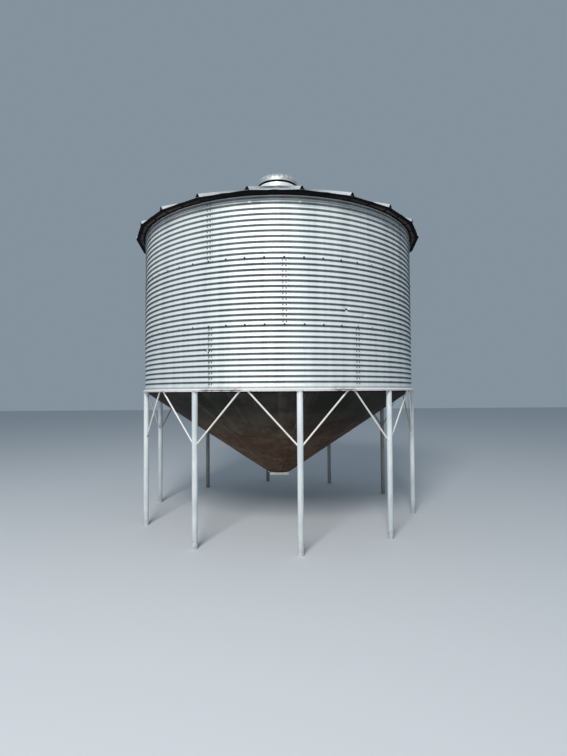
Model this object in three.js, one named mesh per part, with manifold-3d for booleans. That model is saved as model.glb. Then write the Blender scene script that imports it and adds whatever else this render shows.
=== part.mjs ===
// Grain silo: a hopper-bottomed bin of corrugated galvanised steel on ten pipe legs.
// Millimetres, +Z up. The origin is at the centre of the feet, on the ground.
// Bearings are in degrees about the silo's axis: 0 faces -Y (the front), +90 faces +X.
import * as THREE from 'three';
import Module from 'manifold-3d';
import { mergeVertices } from 'three/addons/utils/BufferGeometryUtils.js';

const wasm = await Module();
wasm.setup();

// Wall: three tiers of sheets, each sheet twelve corrugations high. A tier has four full sheets
// and a short one. The seams are counted in shares of the circle: a full sheet spans three shares
// and the short one spans two.
const CORRUGATION_PITCH = 67.7333;
const CORRUGATION_DEPTH = 12.7;
const CORRUGATIONS_PER_TIER = 12;
const TIERS = [
  { name: 'lower', firstShare: 0, spans: [2, 3, 3, 3, 3] },
  { name: 'middle', firstShare: 1, spans: [3, 2, 3, 3, 3] },
  { name: 'upper', firstShare: 0, spans: [3, 3, 3, 2, 3] },
];
const WALL_RADIUS = 2150;
const WALL_MIDDLE_RADIUS = WALL_RADIUS - CORRUGATION_DEPTH / 2;
const SHEET_BACKING = 3;
const TIER_HEIGHT = CORRUGATION_PITCH * CORRUGATIONS_PER_TIER;
const WALL_HEIGHT = TIER_HEIGHT * TIERS.length;
const SHARES = 14;
const SHARE_ANGLE = 360 / SHARES;
const WALL_STEPS = SHARES * 3;
const FIRST_SEAM_BEARING = -22.5;

// Touching pieces keep this gap
const GAP = 0.3;
// Pieces joined into one solid are sunk this far into each other
const OVERLAP = 2;
// Cutting shapes reach this far past what they cut
const SPARE = 100;

// The tiers are counted from WALL_BOTTOM, and the lowest sheets stand on the base ring at SILL,
// half a corrugation higher
const WALL_BOTTOM = 1915;
const SILL = WALL_BOTTOM + CORRUGATION_PITCH / 2;

// Base ring: a flat plate with a sloping drip skirt outside the wall
const RING_THICKNESS = 8;
const RING_INNER = 2062;
const RING_OUTER = 2190;
const SKIRT_HEIGHT = 30;
const SKIRT_EDGE = 2;
const RING_STEPS = 42;

// Legs and braces
const LEG_COUNT = 10;
const LEG_RADIUS = 36.5;
const LEG_CIRCLE = 2150;
const LEG_TOP = SILL - RING_THICKNESS - GAP;
const LEG_SIDES = 16;
const FIRST_LEG_BEARING = 7.3;
const LEG_PITCH = 360 / LEG_COUNT;
const BRACE_RADIUS = 10.7;
const BRACE_SIDES = 10;
const BRACE_DROP = 656;
const BRACE_TOP_SPREAD = 1.45;

// Hopper: a cone under an upright rim that hangs from the ring
const HOPPER_TOP_RADIUS = 2106;
const HOPPER_SHOULDER = WALL_BOTTOM + 6;
const HOPPER_MOUTH_RADIUS = 190;
const HOPPER_DEPTH = 1300;
const HOPPER_PLATE = 4;
const HOPPER_STEPS = 48;

// Discharge: a square frame that holds a sliding plate
const FRAME_HALF = 154;
const FRAME_OPENING = 130;
const FRAME_HEIGHT = 36;
const FRAME_FLANGE_RADIUS = 196;
const FRAME_FLANGE_THICKNESS = 8;
const SLOT_HALF = 142;
const SLOT_HEIGHT = 12;
const GATE_HALF = 136;
const GATE_THICKNESS = 6.5;
const GATE_TAIL = 186;
const GATE_PULL_HALF = 80;
const GATE_PULL_HEIGHT = 44;

// Roof: twenty-two flat panels between raised ribs, with a level soffit past the wall
const ROOF_PANELS = 22;
const FIRST_RIB_BEARING = -8.5;
const EAVE_RADIUS = 2288;
const EAVE_TOP = WALL_BOTTOM + 2406;
const SOFFIT = WALL_BOTTOM + 2397;
const ROOF_SHEET = 4;
const EAVE_BLOCK_INNER = 2112;
const PEAK_RADIUS = 356;
const PEAK_HOLE = 326;
const PEAK_TOP = WALL_BOTTOM + 3357;
const RIB_HEIGHT_EAVE = 42;
const RIB_HEIGHT_PEAK = 18;
const RIB_BASE = 56;
const RIB_CREST = 20;
const RIB_PEAK_MARGIN = 6;

// Fill collar, its lid and the hinge between them
const COLLAR_RADIUS = 340;
const COLLAR_SHEET = 8;
const COLLAR_TOP = WALL_BOTTOM + 3458;
const NECK_RADIUS = 314;
const NECK_TOP = WALL_BOTTOM + 3500;
const LID_RADIUS = 346;
const LID_SKIRT_BOTTOM = WALL_BOTTOM + 3482;
const LID_SKIRT_TOP = WALL_BOTTOM + 3505;
const LID_DOME_HEIGHT = 170;
const LID_DOME_POWER = 0.85;
const LID_DOME_STEPS = 6;
const LID_SHEET = 6;
const LID_SEAT_INNER = 298;
const ROUND_STEPS = 24;
const PIN_Y = 362;
const PIN_Z = WALL_BOTTOM + 3494;
const PIN_RADIUS = 5;
const PIN_SIDES = 12;
const KNUCKLE_RADIUS = 12;
const KNUCKLE_HALF = 40;
const KNUCKLE_SIDES = 16;
const HINGE_ARM_HALF = 4;
const LUG_THICKNESS = 10;
const LUG_GAP = 5;
const LUG_ROOT = 6;
const LUG_DROP = 18;
const LUG_STEP = 12;
const LUG_EYE = 9;
const LUG_MARGIN = 2;

const radians = THREE.MathUtils.degToRad;

function metal(color, roughness, metalness) {
  return new THREE.MeshStandardMaterial({ color, roughness, metalness });
}
const GALVANISED = metal(0xc4c9cc, 0.42, 0.85);
const ROOF_METAL = metal(0xb4b9bc, 0.45, 0.85);
const RING_METAL = metal(0xa9a6a0, 0.6, 0.7);
const LEG_METAL = metal(0xcfd4d4, 0.55, 0.5);
const BRACE_METAL = metal(0xd8d4c8, 0.6, 0.4);
const HOPPER_METAL = metal(0x4a3a31, 0.85, 0.2);
const GATE_METAL = metal(0xcfc8b4, 0.6, 0.4);
const GATE_PLATE_METAL = metal(0x8c8c88, 0.5, 0.7);

const silo = new THREE.Group();

function place(name, geometry, material, parent = silo) {
  const mesh = new THREE.Mesh(geometry, material);
  mesh.name = name;
  parent.add(mesh);
  return mesh;
}

// A closed three.js geometry as a solid that can be joined and cut
function solid(geometry) {
  const bare = geometry.clone();
  bare.deleteAttribute('normal');
  bare.deleteAttribute('uv');
  const merged = mergeVertices(bare, 1e-3);
  const index = merged.index.array;
  const corners = [];
  for (let i = 0; i < index.length; i += 3) {
    const [a, b, c] = [index[i], index[i + 1], index[i + 2]];
    if (a !== b && b !== c && c !== a) corners.push(a, b, c);
  }
  return new wasm.Manifold(new wasm.Mesh({
    numProp: 3,
    vertProperties: new Float32Array(merged.attributes.position.array),
    triVerts: new Uint32Array(corners),
  }));
}

function geometryOf(body) {
  const mesh = body.getMesh();
  const geometry = new THREE.BufferGeometry();
  geometry.setAttribute('position', new THREE.BufferAttribute(mesh.vertProperties, 3));
  geometry.setIndex(new THREE.BufferAttribute(mesh.triVerts, 1));
  geometry.computeVertexNormals();
  return geometry;
}

// Turns an outline of [radius, height] points about the silo's axis.
// The outline runs anticlockwise seen with the radius to the right and height up.
function turned(outline, steps, firstBearing = 0) {
  const points = outline.map(([radius, height]) => new THREE.Vector2(radius, height));
  if (outline[0][0] !== 0) points.push(points[0].clone());
  const geometry = new THREE.LatheGeometry(points, steps, radians(firstBearing));
  return geometry.rotateX(Math.PI / 2);
}

function disc(radius, bottom, top, steps, firstBearing = 0) {
  return turned([[0, bottom], [radius, bottom], [radius, top], [0, top]], steps, firstBearing);
}

function block(x0, x1, y0, y1, z0, z1) {
  const geometry = new THREE.BoxGeometry(x1 - x0, y1 - y0, z1 - z0);
  return geometry.translate((x0 + x1) / 2, (y0 + y1) / 2, (z0 + z1) / 2);
}

// Radius of a many-sided ring's corners whose flats lie at the given radius
function cornerRadius(flatRadius, steps) {
  return flatRadius / Math.cos(Math.PI / steps);
}

function atBearing(radius, bearing, height) {
  const angle = radians(bearing);
  return new THREE.Vector3(radius * Math.sin(angle), -radius * Math.cos(angle), height);
}

// Wall tiers

// One tier as a whole ring: its outer side starts halfway between valley and crest, and has
// its crests a quarter of the way up each corrugation and its valleys three quarters up
function tierRing(bottom) {
  const valley = WALL_RADIUS - CORRUGATION_DEPTH;
  const inner = valley - SHEET_BACKING;
  const foot = Math.max(bottom, SILL) + GAP;
  const top = bottom + TIER_HEIGHT;
  const outline = [[inner, foot], [WALL_MIDDLE_RADIUS, foot]];
  for (let half = 0; half < 2 * CORRUGATIONS_PER_TIER; half += 1) {
    const height = bottom + (half / 2 + 1 / 4) * CORRUGATION_PITCH;
    const radius = half % 2 === 0 ? WALL_RADIUS : valley;
    if (height > foot) outline.push([radius, height]);
  }
  outline.push([WALL_MIDDLE_RADIUS, top], [inner, top]);
  return solid(turned(outline, WALL_STEPS, FIRST_SEAM_BEARING));
}

// The wedge of space that spans an angle from a bearing, drawn in by half a gap on each side
function sheetWedge(firstBearing, angle) {
  const half = radians(angle / 2);
  const tip = GAP / 2 / Math.sin(half);
  const reach = (WALL_RADIUS + SPARE) / Math.cos(half);
  const middle = radians(firstBearing) + half - Math.PI / 2;
  const corner = (side) => new THREE.Vector2(
    tip * Math.cos(middle) + reach * Math.cos(middle + side * half),
    tip * Math.sin(middle) + reach * Math.sin(middle + side * half),
  );
  const tipPoint = new THREE.Vector2(tip * Math.cos(middle), tip * Math.sin(middle));
  const shape = new THREE.Shape([tipPoint, corner(-1), corner(1)]);
  const depth = WALL_HEIGHT + 2 * SPARE;
  const geometry = new THREE.ExtrudeGeometry(shape, { depth, bevelEnabled: false });
  return solid(geometry.translate(0, 0, WALL_BOTTOM - SPARE));
}

function addWall() {
  TIERS.forEach(({ name, firstShare, spans }, tier) => {
    const ring = tierRing(WALL_BOTTOM + tier * TIER_HEIGHT);
    let seam = FIRST_SEAM_BEARING + firstShare * SHARE_ANGLE;
    spans.forEach((span, i) => {
      const sheet = ring.intersect(sheetWedge(seam, span * SHARE_ANGLE));
      place(`wall_sheet_${name}_${i + 1}`, geometryOf(sheet), GALVANISED);
      seam += span * SHARE_ANGLE;
    });
  });
}

// Base ring, legs and braces

function addBaseRing() {
  const outside = cornerRadius(WALL_MIDDLE_RADIUS + 2 * GAP, RING_STEPS);
  const foot = SILL - RING_THICKNESS;
  const skirtTop = SILL + SKIRT_HEIGHT;
  const outline = [
    [RING_INNER, foot], [RING_OUTER, foot], [RING_OUTER, SILL], [outside + SKIRT_EDGE, skirtTop],
    [outside, skirtTop], [outside, SILL], [RING_INNER, SILL],
  ];
  place('base_ring', turned(outline, RING_STEPS), RING_METAL);
}

function legGeometry(radius, height) {
  const geometry = new THREE.CylinderGeometry(radius, radius, height, LEG_SIDES);
  return geometry.rotateX(Math.PI / 2).translate(0, 0, height / 2);
}

// A pipe from the leg's axis up to the ring, cut to the leg's side and the ring's underside
function brace(legBearing, side) {
  const middleOfBay = legBearing + side * LEG_PITCH / 2;
  const low = atBearing(LEG_CIRCLE, legBearing, WALL_BOTTOM - BRACE_DROP);
  const high = atBearing(LEG_CIRCLE, middleOfBay - side * BRACE_TOP_SPREAD, LEG_TOP);
  const run = high.clone().sub(low);
  const length = run.length();
  const pipe = new THREE.CylinderGeometry(BRACE_RADIUS, BRACE_RADIUS, length + SPARE, BRACE_SIDES);
  pipe.translate(0, (length + SPARE) / 2, 0);
  const upright = new THREE.Vector3(0, 1, 0);
  pipe.applyQuaternion(new THREE.Quaternion().setFromUnitVectors(upright, run.normalize()));
  pipe.translate(low.x, low.y, low.z);
  const legSpace = legGeometry(LEG_RADIUS + GAP, WALL_BOTTOM);
  legSpace.rotateZ(radians(legBearing)).translate(low.x, low.y, 0);
  const reach = LEG_CIRCLE + SPARE;
  const above = block(-reach, reach, -reach, reach, LEG_TOP, LEG_TOP + 2 * SPARE);
  return solid(pipe).subtract(solid(legSpace)).subtract(solid(above));
}

function addLegs() {
  for (let i = 0; i < LEG_COUNT; i += 1) {
    const bearing = FIRST_LEG_BEARING + i * LEG_PITCH;
    const number = String(i + 1).padStart(2, '0');
    const foot = atBearing(LEG_CIRCLE, bearing, 0);
    const leg = place(`leg_${number}`, legGeometry(LEG_RADIUS, LEG_TOP), LEG_METAL);
    leg.position.copy(foot);
    leg.rotation.z = radians(bearing);
    place(`brace_${number}_left`, geometryOf(brace(bearing, -1)), BRACE_METAL);
    place(`brace_${number}_right`, geometryOf(brace(bearing, 1)), BRACE_METAL);
  }
}

// Hopper and discharge

function addHopper() {
  const bottom = WALL_BOTTOM - HOPPER_DEPTH;
  const slope = (HOPPER_SHOULDER - bottom) / (HOPPER_TOP_RADIUS - HOPPER_MOUTH_RADIUS);
  const across = HOPPER_PLATE * Math.hypot(1, slope) / slope;
  const rimInner = HOPPER_TOP_RADIUS - HOPPER_PLATE;
  const outline = [
    [HOPPER_MOUTH_RADIUS - across, bottom], [HOPPER_MOUTH_RADIUS, bottom],
    [HOPPER_TOP_RADIUS, HOPPER_SHOULDER], [HOPPER_TOP_RADIUS, LEG_TOP], [rimInner, LEG_TOP],
    [rimInner, HOPPER_SHOULDER + (across - HOPPER_PLATE) * slope],
  ];
  place('hopper_cone', turned(outline, HOPPER_STEPS), HOPPER_METAL);
}

function addDischarge() {
  const flangeTop = WALL_BOTTOM - HOPPER_DEPTH - GAP;
  const frameTop = flangeTop - FRAME_FLANGE_THICKNESS;
  const frameBottom = frameTop - FRAME_HEIGHT;
  const slotBottom = frameBottom + (FRAME_HEIGHT - SLOT_HEIGHT) / 2;
  const flange = disc(FRAME_FLANGE_RADIUS, frameTop, flangeTop, ROUND_STEPS);
  const body = block(-FRAME_HALF, FRAME_HALF, -FRAME_HALF, FRAME_HALF, frameBottom, frameTop + OVERLAP);
  const hole = block(-FRAME_OPENING, FRAME_OPENING, -FRAME_OPENING, FRAME_OPENING,
    frameBottom - SPARE, flangeTop + SPARE);
  const slot = block(-SLOT_HALF, SLOT_HALF, -SLOT_HALF, FRAME_HALF + SPARE,
    slotBottom, slotBottom + SLOT_HEIGHT);
  const frame = solid(flange).add(solid(body)).subtract(solid(hole)).subtract(solid(slot));
  place('discharge_frame', geometryOf(frame), GATE_METAL);

  const plateBottom = slotBottom + GAP;
  const plate = block(-GATE_HALF, GATE_HALF, -GATE_HALF, GATE_TAIL,
    plateBottom, plateBottom + GATE_THICKNESS);
  const pull = block(-GATE_PULL_HALF, GATE_PULL_HALF, GATE_TAIL - GATE_THICKNESS, GATE_TAIL,
    plateBottom + GATE_THICKNESS / 2 - GATE_PULL_HEIGHT, plateBottom + GATE_THICKNESS / 2);
  place('slide_gate', geometryOf(solid(plate).add(solid(pull))), GATE_PLATE_METAL);
}

// Roof

const ROOF_SLOPE = (PEAK_TOP - EAVE_TOP) / (EAVE_RADIUS - PEAK_RADIUS);

// One solid rib, lying on the line between two panels and tapering towards the peak
function rib(bearing) {
  const inner = PEAK_RADIUS + RIB_PEAK_MARGIN;
  const shape = new THREE.Shape([
    [-RIB_BASE / 2, -OVERLAP], [RIB_BASE / 2, -OVERLAP],
    [RIB_CREST / 2, RIB_HEIGHT_EAVE], [-RIB_CREST / 2, RIB_HEIGHT_EAVE],
  ].map(([across, up]) => new THREE.Vector2(across, up)));
  const geometry = new THREE.ExtrudeGeometry(shape, { depth: 1, bevelEnabled: false });
  const position = geometry.attributes.position;
  for (let i = 0; i < position.count; i += 1) {
    const along = position.getZ(i);
    const isCrest = position.getY(i) > 0;
    const height = isCrest ? THREE.MathUtils.lerp(RIB_HEIGHT_EAVE, RIB_HEIGHT_PEAK, along) : -OVERLAP;
    const radius = THREE.MathUtils.lerp(EAVE_RADIUS, inner, along);
    const z = EAVE_TOP + (EAVE_RADIUS - radius) * ROOF_SLOPE + height;
    position.setXYZ(i, -position.getX(i), -radius, z);
  }
  return solid(geometry.rotateZ(radians(bearing)));
}

function addRoof() {
  const wallTop = WALL_BOTTOM + WALL_HEIGHT + GAP;
  const sheetDrop = ROOF_SHEET * Math.hypot(1, ROOF_SLOPE);
  const eaveBlockTop = EAVE_TOP + (EAVE_RADIUS - EAVE_BLOCK_INNER) * ROOF_SLOPE - sheetDrop;
  const peakUnder = PEAK_TOP - sheetDrop;
  const envelope = turned([
    [0, SOFFIT], [EAVE_RADIUS, SOFFIT], [EAVE_RADIUS, EAVE_TOP], [PEAK_RADIUS, PEAK_TOP], [0, PEAK_TOP],
  ], ROOF_PANELS, FIRST_RIB_BEARING);
  const attic = turned([
    [0, wallTop - SPARE], [EAVE_BLOCK_INNER, wallTop - SPARE], [EAVE_BLOCK_INNER, eaveBlockTop],
    [PEAK_RADIUS, peakUnder], [0, peakUnder],
  ], ROOF_PANELS, FIRST_RIB_BEARING);
  const wallSteps = WALL_STEPS * 2;
  const wallSpace = disc(cornerRadius(WALL_RADIUS + 2 * GAP, wallSteps), SOFFIT - SPARE, wallTop, wallSteps,
    FIRST_SEAM_BEARING);
  const peakHole = disc(PEAK_HOLE, PEAK_TOP - SPARE, PEAK_TOP + SPARE, ROUND_STEPS);
  let roof = solid(envelope);
  for (let i = 0; i < ROOF_PANELS; i += 1) {
    roof = roof.add(rib(FIRST_RIB_BEARING + i * 360 / ROOF_PANELS));
  }
  roof = roof.subtract(solid(attic)).subtract(solid(wallSpace)).subtract(solid(peakHole));
  place('roof', geometryOf(roof), ROOF_METAL);
}

// Fill collar and lid

function hingeLug(side) {
  const inner = KNUCKLE_HALF + LUG_GAP;
  const root = COLLAR_RADIUS - LUG_ROOT;
  const outerEdge = PIN_Y + KNUCKLE_RADIUS + LUG_MARGIN;
  const shape = new THREE.Shape([
    [root, COLLAR_TOP - LUG_DROP], [outerEdge, COLLAR_TOP - LUG_DROP],
    [outerEdge, PIN_Z + LUG_EYE], [PIN_Y - LUG_EYE, PIN_Z + LUG_EYE],
    [PIN_Y - LUG_EYE, COLLAR_TOP + LUG_STEP], [root, COLLAR_TOP + LUG_STEP],
  ].map(([y, z]) => new THREE.Vector2(y, z)));
  const geometry = new THREE.ExtrudeGeometry(shape, { depth: LUG_THICKNESS, bevelEnabled: false });
  geometry.rotateX(Math.PI / 2).rotateZ(Math.PI / 2);
  return solid(geometry.translate(side > 0 ? inner : -inner - LUG_THICKNESS, 0, 0));
}

function crossBar(radius, half, sides) {
  const bar = new THREE.CylinderGeometry(radius, radius, 2 * half, sides);
  return bar.rotateZ(Math.PI / 2).translate(0, PIN_Y, PIN_Z);
}

function addCollar() {
  const seat = PEAK_TOP + GAP;
  const ledge = COLLAR_TOP - COLLAR_SHEET;
  const collar = turned([
    [COLLAR_RADIUS - COLLAR_SHEET, seat], [COLLAR_RADIUS, seat], [COLLAR_RADIUS, COLLAR_TOP],
    [NECK_RADIUS, COLLAR_TOP], [NECK_RADIUS, NECK_TOP], [NECK_RADIUS - COLLAR_SHEET, NECK_TOP],
    [NECK_RADIUS - COLLAR_SHEET, ledge], [COLLAR_RADIUS - COLLAR_SHEET, ledge],
  ], ROUND_STEPS);
  const pin = crossBar(PIN_RADIUS, KNUCKLE_HALF + LUG_GAP + LUG_THICKNESS, PIN_SIDES);
  const body = solid(collar).add(hingeLug(-1)).add(hingeLug(1)).add(solid(pin));
  place('fill_collar', geometryOf(body), GALVANISED);
}

function addLid() {
  const dome = (radius, bottom, height) => {
    const points = [];
    for (let i = 0; i < LID_DOME_STEPS; i += 1) {
      const angle = (i / LID_DOME_STEPS) * Math.PI / 2;
      const out = Math.cos(angle) ** LID_DOME_POWER;
      const up = Math.sin(angle) ** LID_DOME_POWER;
      points.push([radius * out, bottom + height * up]);
    }
    points.push([0, bottom + height]);
    return points;
  };
  const seat = NECK_TOP + GAP;
  const outer = dome(LID_RADIUS, LID_SKIRT_TOP, LID_DOME_HEIGHT);
  const inner = dome(LID_SEAT_INNER, seat, LID_DOME_HEIGHT - LID_SHEET).reverse();
  const skirtInner = LID_RADIUS - LID_SHEET;
  const outline = [
    ...inner, [skirtInner, seat], [skirtInner, LID_SKIRT_BOTTOM], [LID_RADIUS, LID_SKIRT_BOTTOM], ...outer,
  ];
  const arm = block(-KNUCKLE_HALF, KNUCKLE_HALF, skirtInner, PIN_Y,
    PIN_Z - HINGE_ARM_HALF, PIN_Z + HINGE_ARM_HALF);
  const knuckle = crossBar(KNUCKLE_RADIUS, KNUCKLE_HALF, KNUCKLE_SIDES);
  const bore = crossBar(cornerRadius(PIN_RADIUS + GAP, KNUCKLE_SIDES), KNUCKLE_HALF + LUG_GAP, KNUCKLE_SIDES);
  const lid = solid(turned(outline, ROUND_STEPS)).add(solid(arm)).add(solid(knuckle)).subtract(solid(bore));
  place('fill_lid', geometryOf(lid), GALVANISED);
}

addLegs();
addBaseRing();
addWall();
addHopper();
addDischarge();
addRoof();
addCollar();
addLid();

export default silo;
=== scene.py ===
# %% [markdown]
# # A hopper-bottom grain silo
#
# The real object is a farm silo for grain: a round wall of corrugated galvanised sheets, bolted at
# their laps, on a ring that stands on ten welded pipe legs. Under the wall hangs a steel hopper
# with a slide gate at its mouth. Over it is a roof of flat panels between raised ribs, with a fill
# collar and a lid at the peak.
#
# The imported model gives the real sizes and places, so the first cell loads it. Everything here is
# in metres, +Z is up, and the silo's axis is the Z axis. A bearing is an angle round that axis in
# degrees: 0 is the front, towards -Y, and +90 is to the right, towards +X.

# %% Load the frame
import math
import random
from contextlib import contextmanager

import bmesh
import bpy
from mathutils import Matrix, Vector


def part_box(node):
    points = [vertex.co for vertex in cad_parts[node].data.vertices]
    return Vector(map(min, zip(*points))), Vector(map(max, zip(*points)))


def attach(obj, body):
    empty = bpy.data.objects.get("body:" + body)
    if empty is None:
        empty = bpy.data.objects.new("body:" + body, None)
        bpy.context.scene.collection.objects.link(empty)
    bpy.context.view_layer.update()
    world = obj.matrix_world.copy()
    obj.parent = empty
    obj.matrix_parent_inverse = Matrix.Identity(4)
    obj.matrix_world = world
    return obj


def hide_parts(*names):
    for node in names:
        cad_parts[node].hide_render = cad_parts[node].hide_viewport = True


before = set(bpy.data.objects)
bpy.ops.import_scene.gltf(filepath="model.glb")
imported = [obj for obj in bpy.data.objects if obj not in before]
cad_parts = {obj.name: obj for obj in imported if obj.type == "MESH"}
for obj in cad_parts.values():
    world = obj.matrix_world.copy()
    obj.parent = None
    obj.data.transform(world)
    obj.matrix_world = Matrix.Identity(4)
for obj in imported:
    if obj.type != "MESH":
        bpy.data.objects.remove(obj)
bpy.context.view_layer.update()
print("loaded", len(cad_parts), "nodes")

# %% [markdown]
# ## Sizes from the frame
#
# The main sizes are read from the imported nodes, so the pieces fit without any measuring by eye.
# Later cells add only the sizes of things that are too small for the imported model.

# %% Read the silo's sizes


def reach(node):
    """The largest distance of a node's vertices from the silo's axis."""
    return max(math.hypot(v.co.x, v.co.y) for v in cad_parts[node].data.vertices)


def turn(bearing):
    """The rotation that carries the front of the silo to a bearing."""
    return Matrix.Rotation(math.radians(bearing), 4, "Z")


def at(radius, bearing, height):
    """The point at a radius, bearing and height."""
    angle = math.radians(bearing)
    return Vector((radius * math.sin(angle), -radius * math.cos(angle), height))


UP = Vector((0, 0, 1))
TIERS = ("lower", "middle", "upper")
CORRUGATIONS = 12
RING_THICKNESS = 0.008
WALL_RADIUS = reach("wall_sheet_lower_1")
TIER_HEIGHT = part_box("wall_sheet_middle_1")[1].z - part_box("wall_sheet_lower_1")[1].z
WALL_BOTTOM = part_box("wall_sheet_lower_1")[1].z - TIER_HEIGHT
WALL_TOP = WALL_BOTTOM + TIER_HEIGHT * len(TIERS)
PITCH = TIER_HEIGHT / CORRUGATIONS
RING_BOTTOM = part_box("base_ring")[0].z
SILL = RING_BOTTOM + RING_THICKNESS
print(f"wall radius {WALL_RADIUS:.3f}, tiers from {WALL_BOTTOM:.3f} to {WALL_TOP:.3f}, sill {SILL:.3f}")

# %% [markdown]
# ## Camera
#
# The photograph was taken from in front of the silo, near the ground and close to it, with the wide
# lens of a phone held almost level. A camera fitted to the corrugations and legs in the picture
# gives these values. The picture is 567 by 756, so the sensor's 36 mm lie along its height.

# %% Set up the camera
FOCAL_PIXELS = 431.7
PICTURE_HEIGHT = 756
CAMERA_PLACE = (0.0792, -7.2907, 1.938)
CAMERA_TILT_UP = 1.78
CAMERA_ROLL = -0.39

camera_data = bpy.data.cameras.new("camera")
camera_data.sensor_width = 36
camera_data.lens = FOCAL_PIXELS / PICTURE_HEIGHT * camera_data.sensor_width
camera = bpy.data.objects.new("camera", camera_data)
bpy.context.scene.collection.objects.link(camera)
tilt = Matrix.Rotation(math.radians(90 + CAMERA_TILT_UP), 4, "X")
roll = Matrix.Rotation(math.radians(CAMERA_ROLL), 4, "Z")
camera.matrix_world = Matrix.Translation(CAMERA_PLACE) @ tilt @ roll
bpy.context.scene.camera = camera
print(f"lens {camera_data.lens:.1f} mm")

# %% [markdown]
# ## Working by hand, in code
#
# Blender's operators work on whatever is selected, so a few helpers keep that tidy. `editing` opens
# one piece in edit mode with nothing selected, and `pick` selects its parts by their place. Short
# names stand for the operators that come back most: move, extrude, cut, thickened and eased. A
# finished piece keeps its place in its mesh, so `settle` applies where a primitive was put.

# %% Helpers for edit mode


def only(piece):
    """Makes a piece the active object and the only one selected."""
    bpy.ops.object.select_all(action="DESELECT")
    bpy.context.view_layer.objects.active = piece
    piece.select_set(True)


@contextmanager
def editing(piece):
    """Edit mode on one piece, with nothing selected."""
    only(piece)
    bpy.ops.object.mode_set(mode="EDIT")
    bpy.ops.mesh.select_mode(type="VERT")
    bpy.ops.mesh.select_all(action="DESELECT")
    yield
    bpy.ops.object.mode_set(mode="OBJECT")


def pick(piece, kind, test):
    """Selects the verts, edges or faces, in edit mode, whose middle passes the test."""
    mode = {"verts": "VERT", "edges": "EDGE", "faces": "FACE"}[kind]
    bpy.ops.mesh.select_mode(type=mode)
    bpy.ops.mesh.select_all(action="DESELECT")
    mesh = bmesh.from_edit_mesh(piece.data)
    for item in getattr(mesh, kind):
        corners = [item.co] if kind == "verts" else [v.co for v in item.verts]
        item.select_set(test(sum(corners, Vector()) / len(corners)))
    mesh.select_flush_mode()
    bmesh.update_edit_mesh(piece.data)


def pick_all():
    """Selects everything in edit mode."""
    bpy.ops.mesh.select_all(action="SELECT")


def move(offset):
    """Moves what is selected."""
    bpy.ops.transform.translate(value=offset)


def extrude(offset):
    """Extrudes what is selected by an offset."""
    bpy.ops.mesh.extrude_region_move(TRANSFORM_OT_translate={"value": offset})


def cut(place, normal, **how):
    """Cuts the whole piece along a plane; how says what goes and whether the cut is filled."""
    pick_all()
    bpy.ops.mesh.bisect(plane_co=place, plane_no=normal, **how)


def merge_points():
    """Merges points that lie in one place."""
    pick_all()
    bpy.ops.mesh.remove_doubles(threshold=1e-5)


def hollow_out(band):
    """Cuts the middle out of a flat plate and leaves a band round its edge."""
    pick_all()
    bpy.ops.mesh.inset(thickness=band)
    bpy.ops.mesh.delete(type="FACE")


def face_outwards():
    """Makes the faces of a whole piece agree, outwards where it is closed."""
    pick_all()
    bpy.ops.mesh.normals_make_consistent(inside=False)


def settle(piece):
    """Moves a piece's place and turn into its mesh, so that its object sits at the origin."""
    only(piece)
    bpy.ops.object.transform_apply(location=True, rotation=True, scale=True)
    return piece


def modify(piece, kind, **settings):
    """Adds a modifier, sets it and applies it."""
    only(piece)
    modifier = piece.modifiers.new(kind.lower(), kind)
    for key, value in settings.items():
        setattr(modifier, key, value)
    bpy.ops.object.modifier_apply(modifier=modifier.name)
    return piece


def thickened(piece, thickness, side=-1):
    """Gives a skin a thickness, behind its faces for -1 and before them for 1."""
    return modify(piece, "SOLIDIFY", thickness=thickness, offset=side)


def eased(piece, width, segments=2, sharp=30):
    """Bevels the edges where the faces turn by more than the sharp angle, in degrees."""
    return modify(piece, "BEVEL", width=width, segments=segments, limit_method="ANGLE",
                  angle_limit=math.radians(sharp))


def primitive(kind, name, place=(0, 0, 0), rotation=(0, 0, 0), **size):
    """A named primitive at its place."""
    getattr(bpy.ops.mesh, f"primitive_{kind}_add")(location=place, rotation=rotation, **size)
    bpy.context.object.name = name
    return bpy.context.object


def block(name, low, high, bevel=0.001):
    """A cube pulled to a box between two corners, with its edges eased."""
    size = Vector(high) - Vector(low)
    piece = primitive("cube", name, (Vector(low) + Vector(high)) / 2, size=1)
    with editing(piece):
        pick_all()
        bpy.ops.transform.resize(value=size)
    settle(piece)
    return eased(piece, bevel)


def joined(name, pieces):
    """Joins pieces into one."""
    bpy.ops.object.select_all(action="DESELECT")
    for piece in pieces:
        piece.select_set(True)
    bpy.context.view_layer.objects.active = pieces[0]
    bpy.ops.object.join()
    pieces[0].name = name
    return pieces[0]


def copied(piece, name, matrix):
    """A copy with a mesh of its own, moved by a matrix."""
    copy = piece.copy()
    copy.data = piece.data.copy()
    copy.name = name
    copy.data.transform(matrix)
    bpy.context.scene.collection.objects.link(copy)
    return copy


def removed(*pieces):
    """Deletes patterns that have been copied."""
    for piece in pieces:
        bpy.data.meshes.remove(piece.data)


def counted(piece):
    """Prints how many faces a piece has."""
    print(piece.name, len(piece.data.polygons), "faces")


def strewn(name, pattern, matrices):
    """One piece that holds a copy of a small pattern at each matrix."""
    mesh = bmesh.new()
    for matrix in matrices:
        copy = pattern.data.copy()
        copy.transform(matrix)
        mesh.from_mesh(copy)
        bpy.data.meshes.remove(copy)
    piece = bpy.data.objects.new(name, bpy.data.meshes.new(name))
    mesh.to_mesh(piece.data)
    mesh.free()
    bpy.context.scene.collection.objects.link(piece)
    return piece


def smooth(piece, degrees=35):
    """Smooth shading, except over sharp edges."""
    only(piece)
    bpy.ops.object.shade_smooth_by_angle(angle=math.radians(degrees))
    return piece


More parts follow.
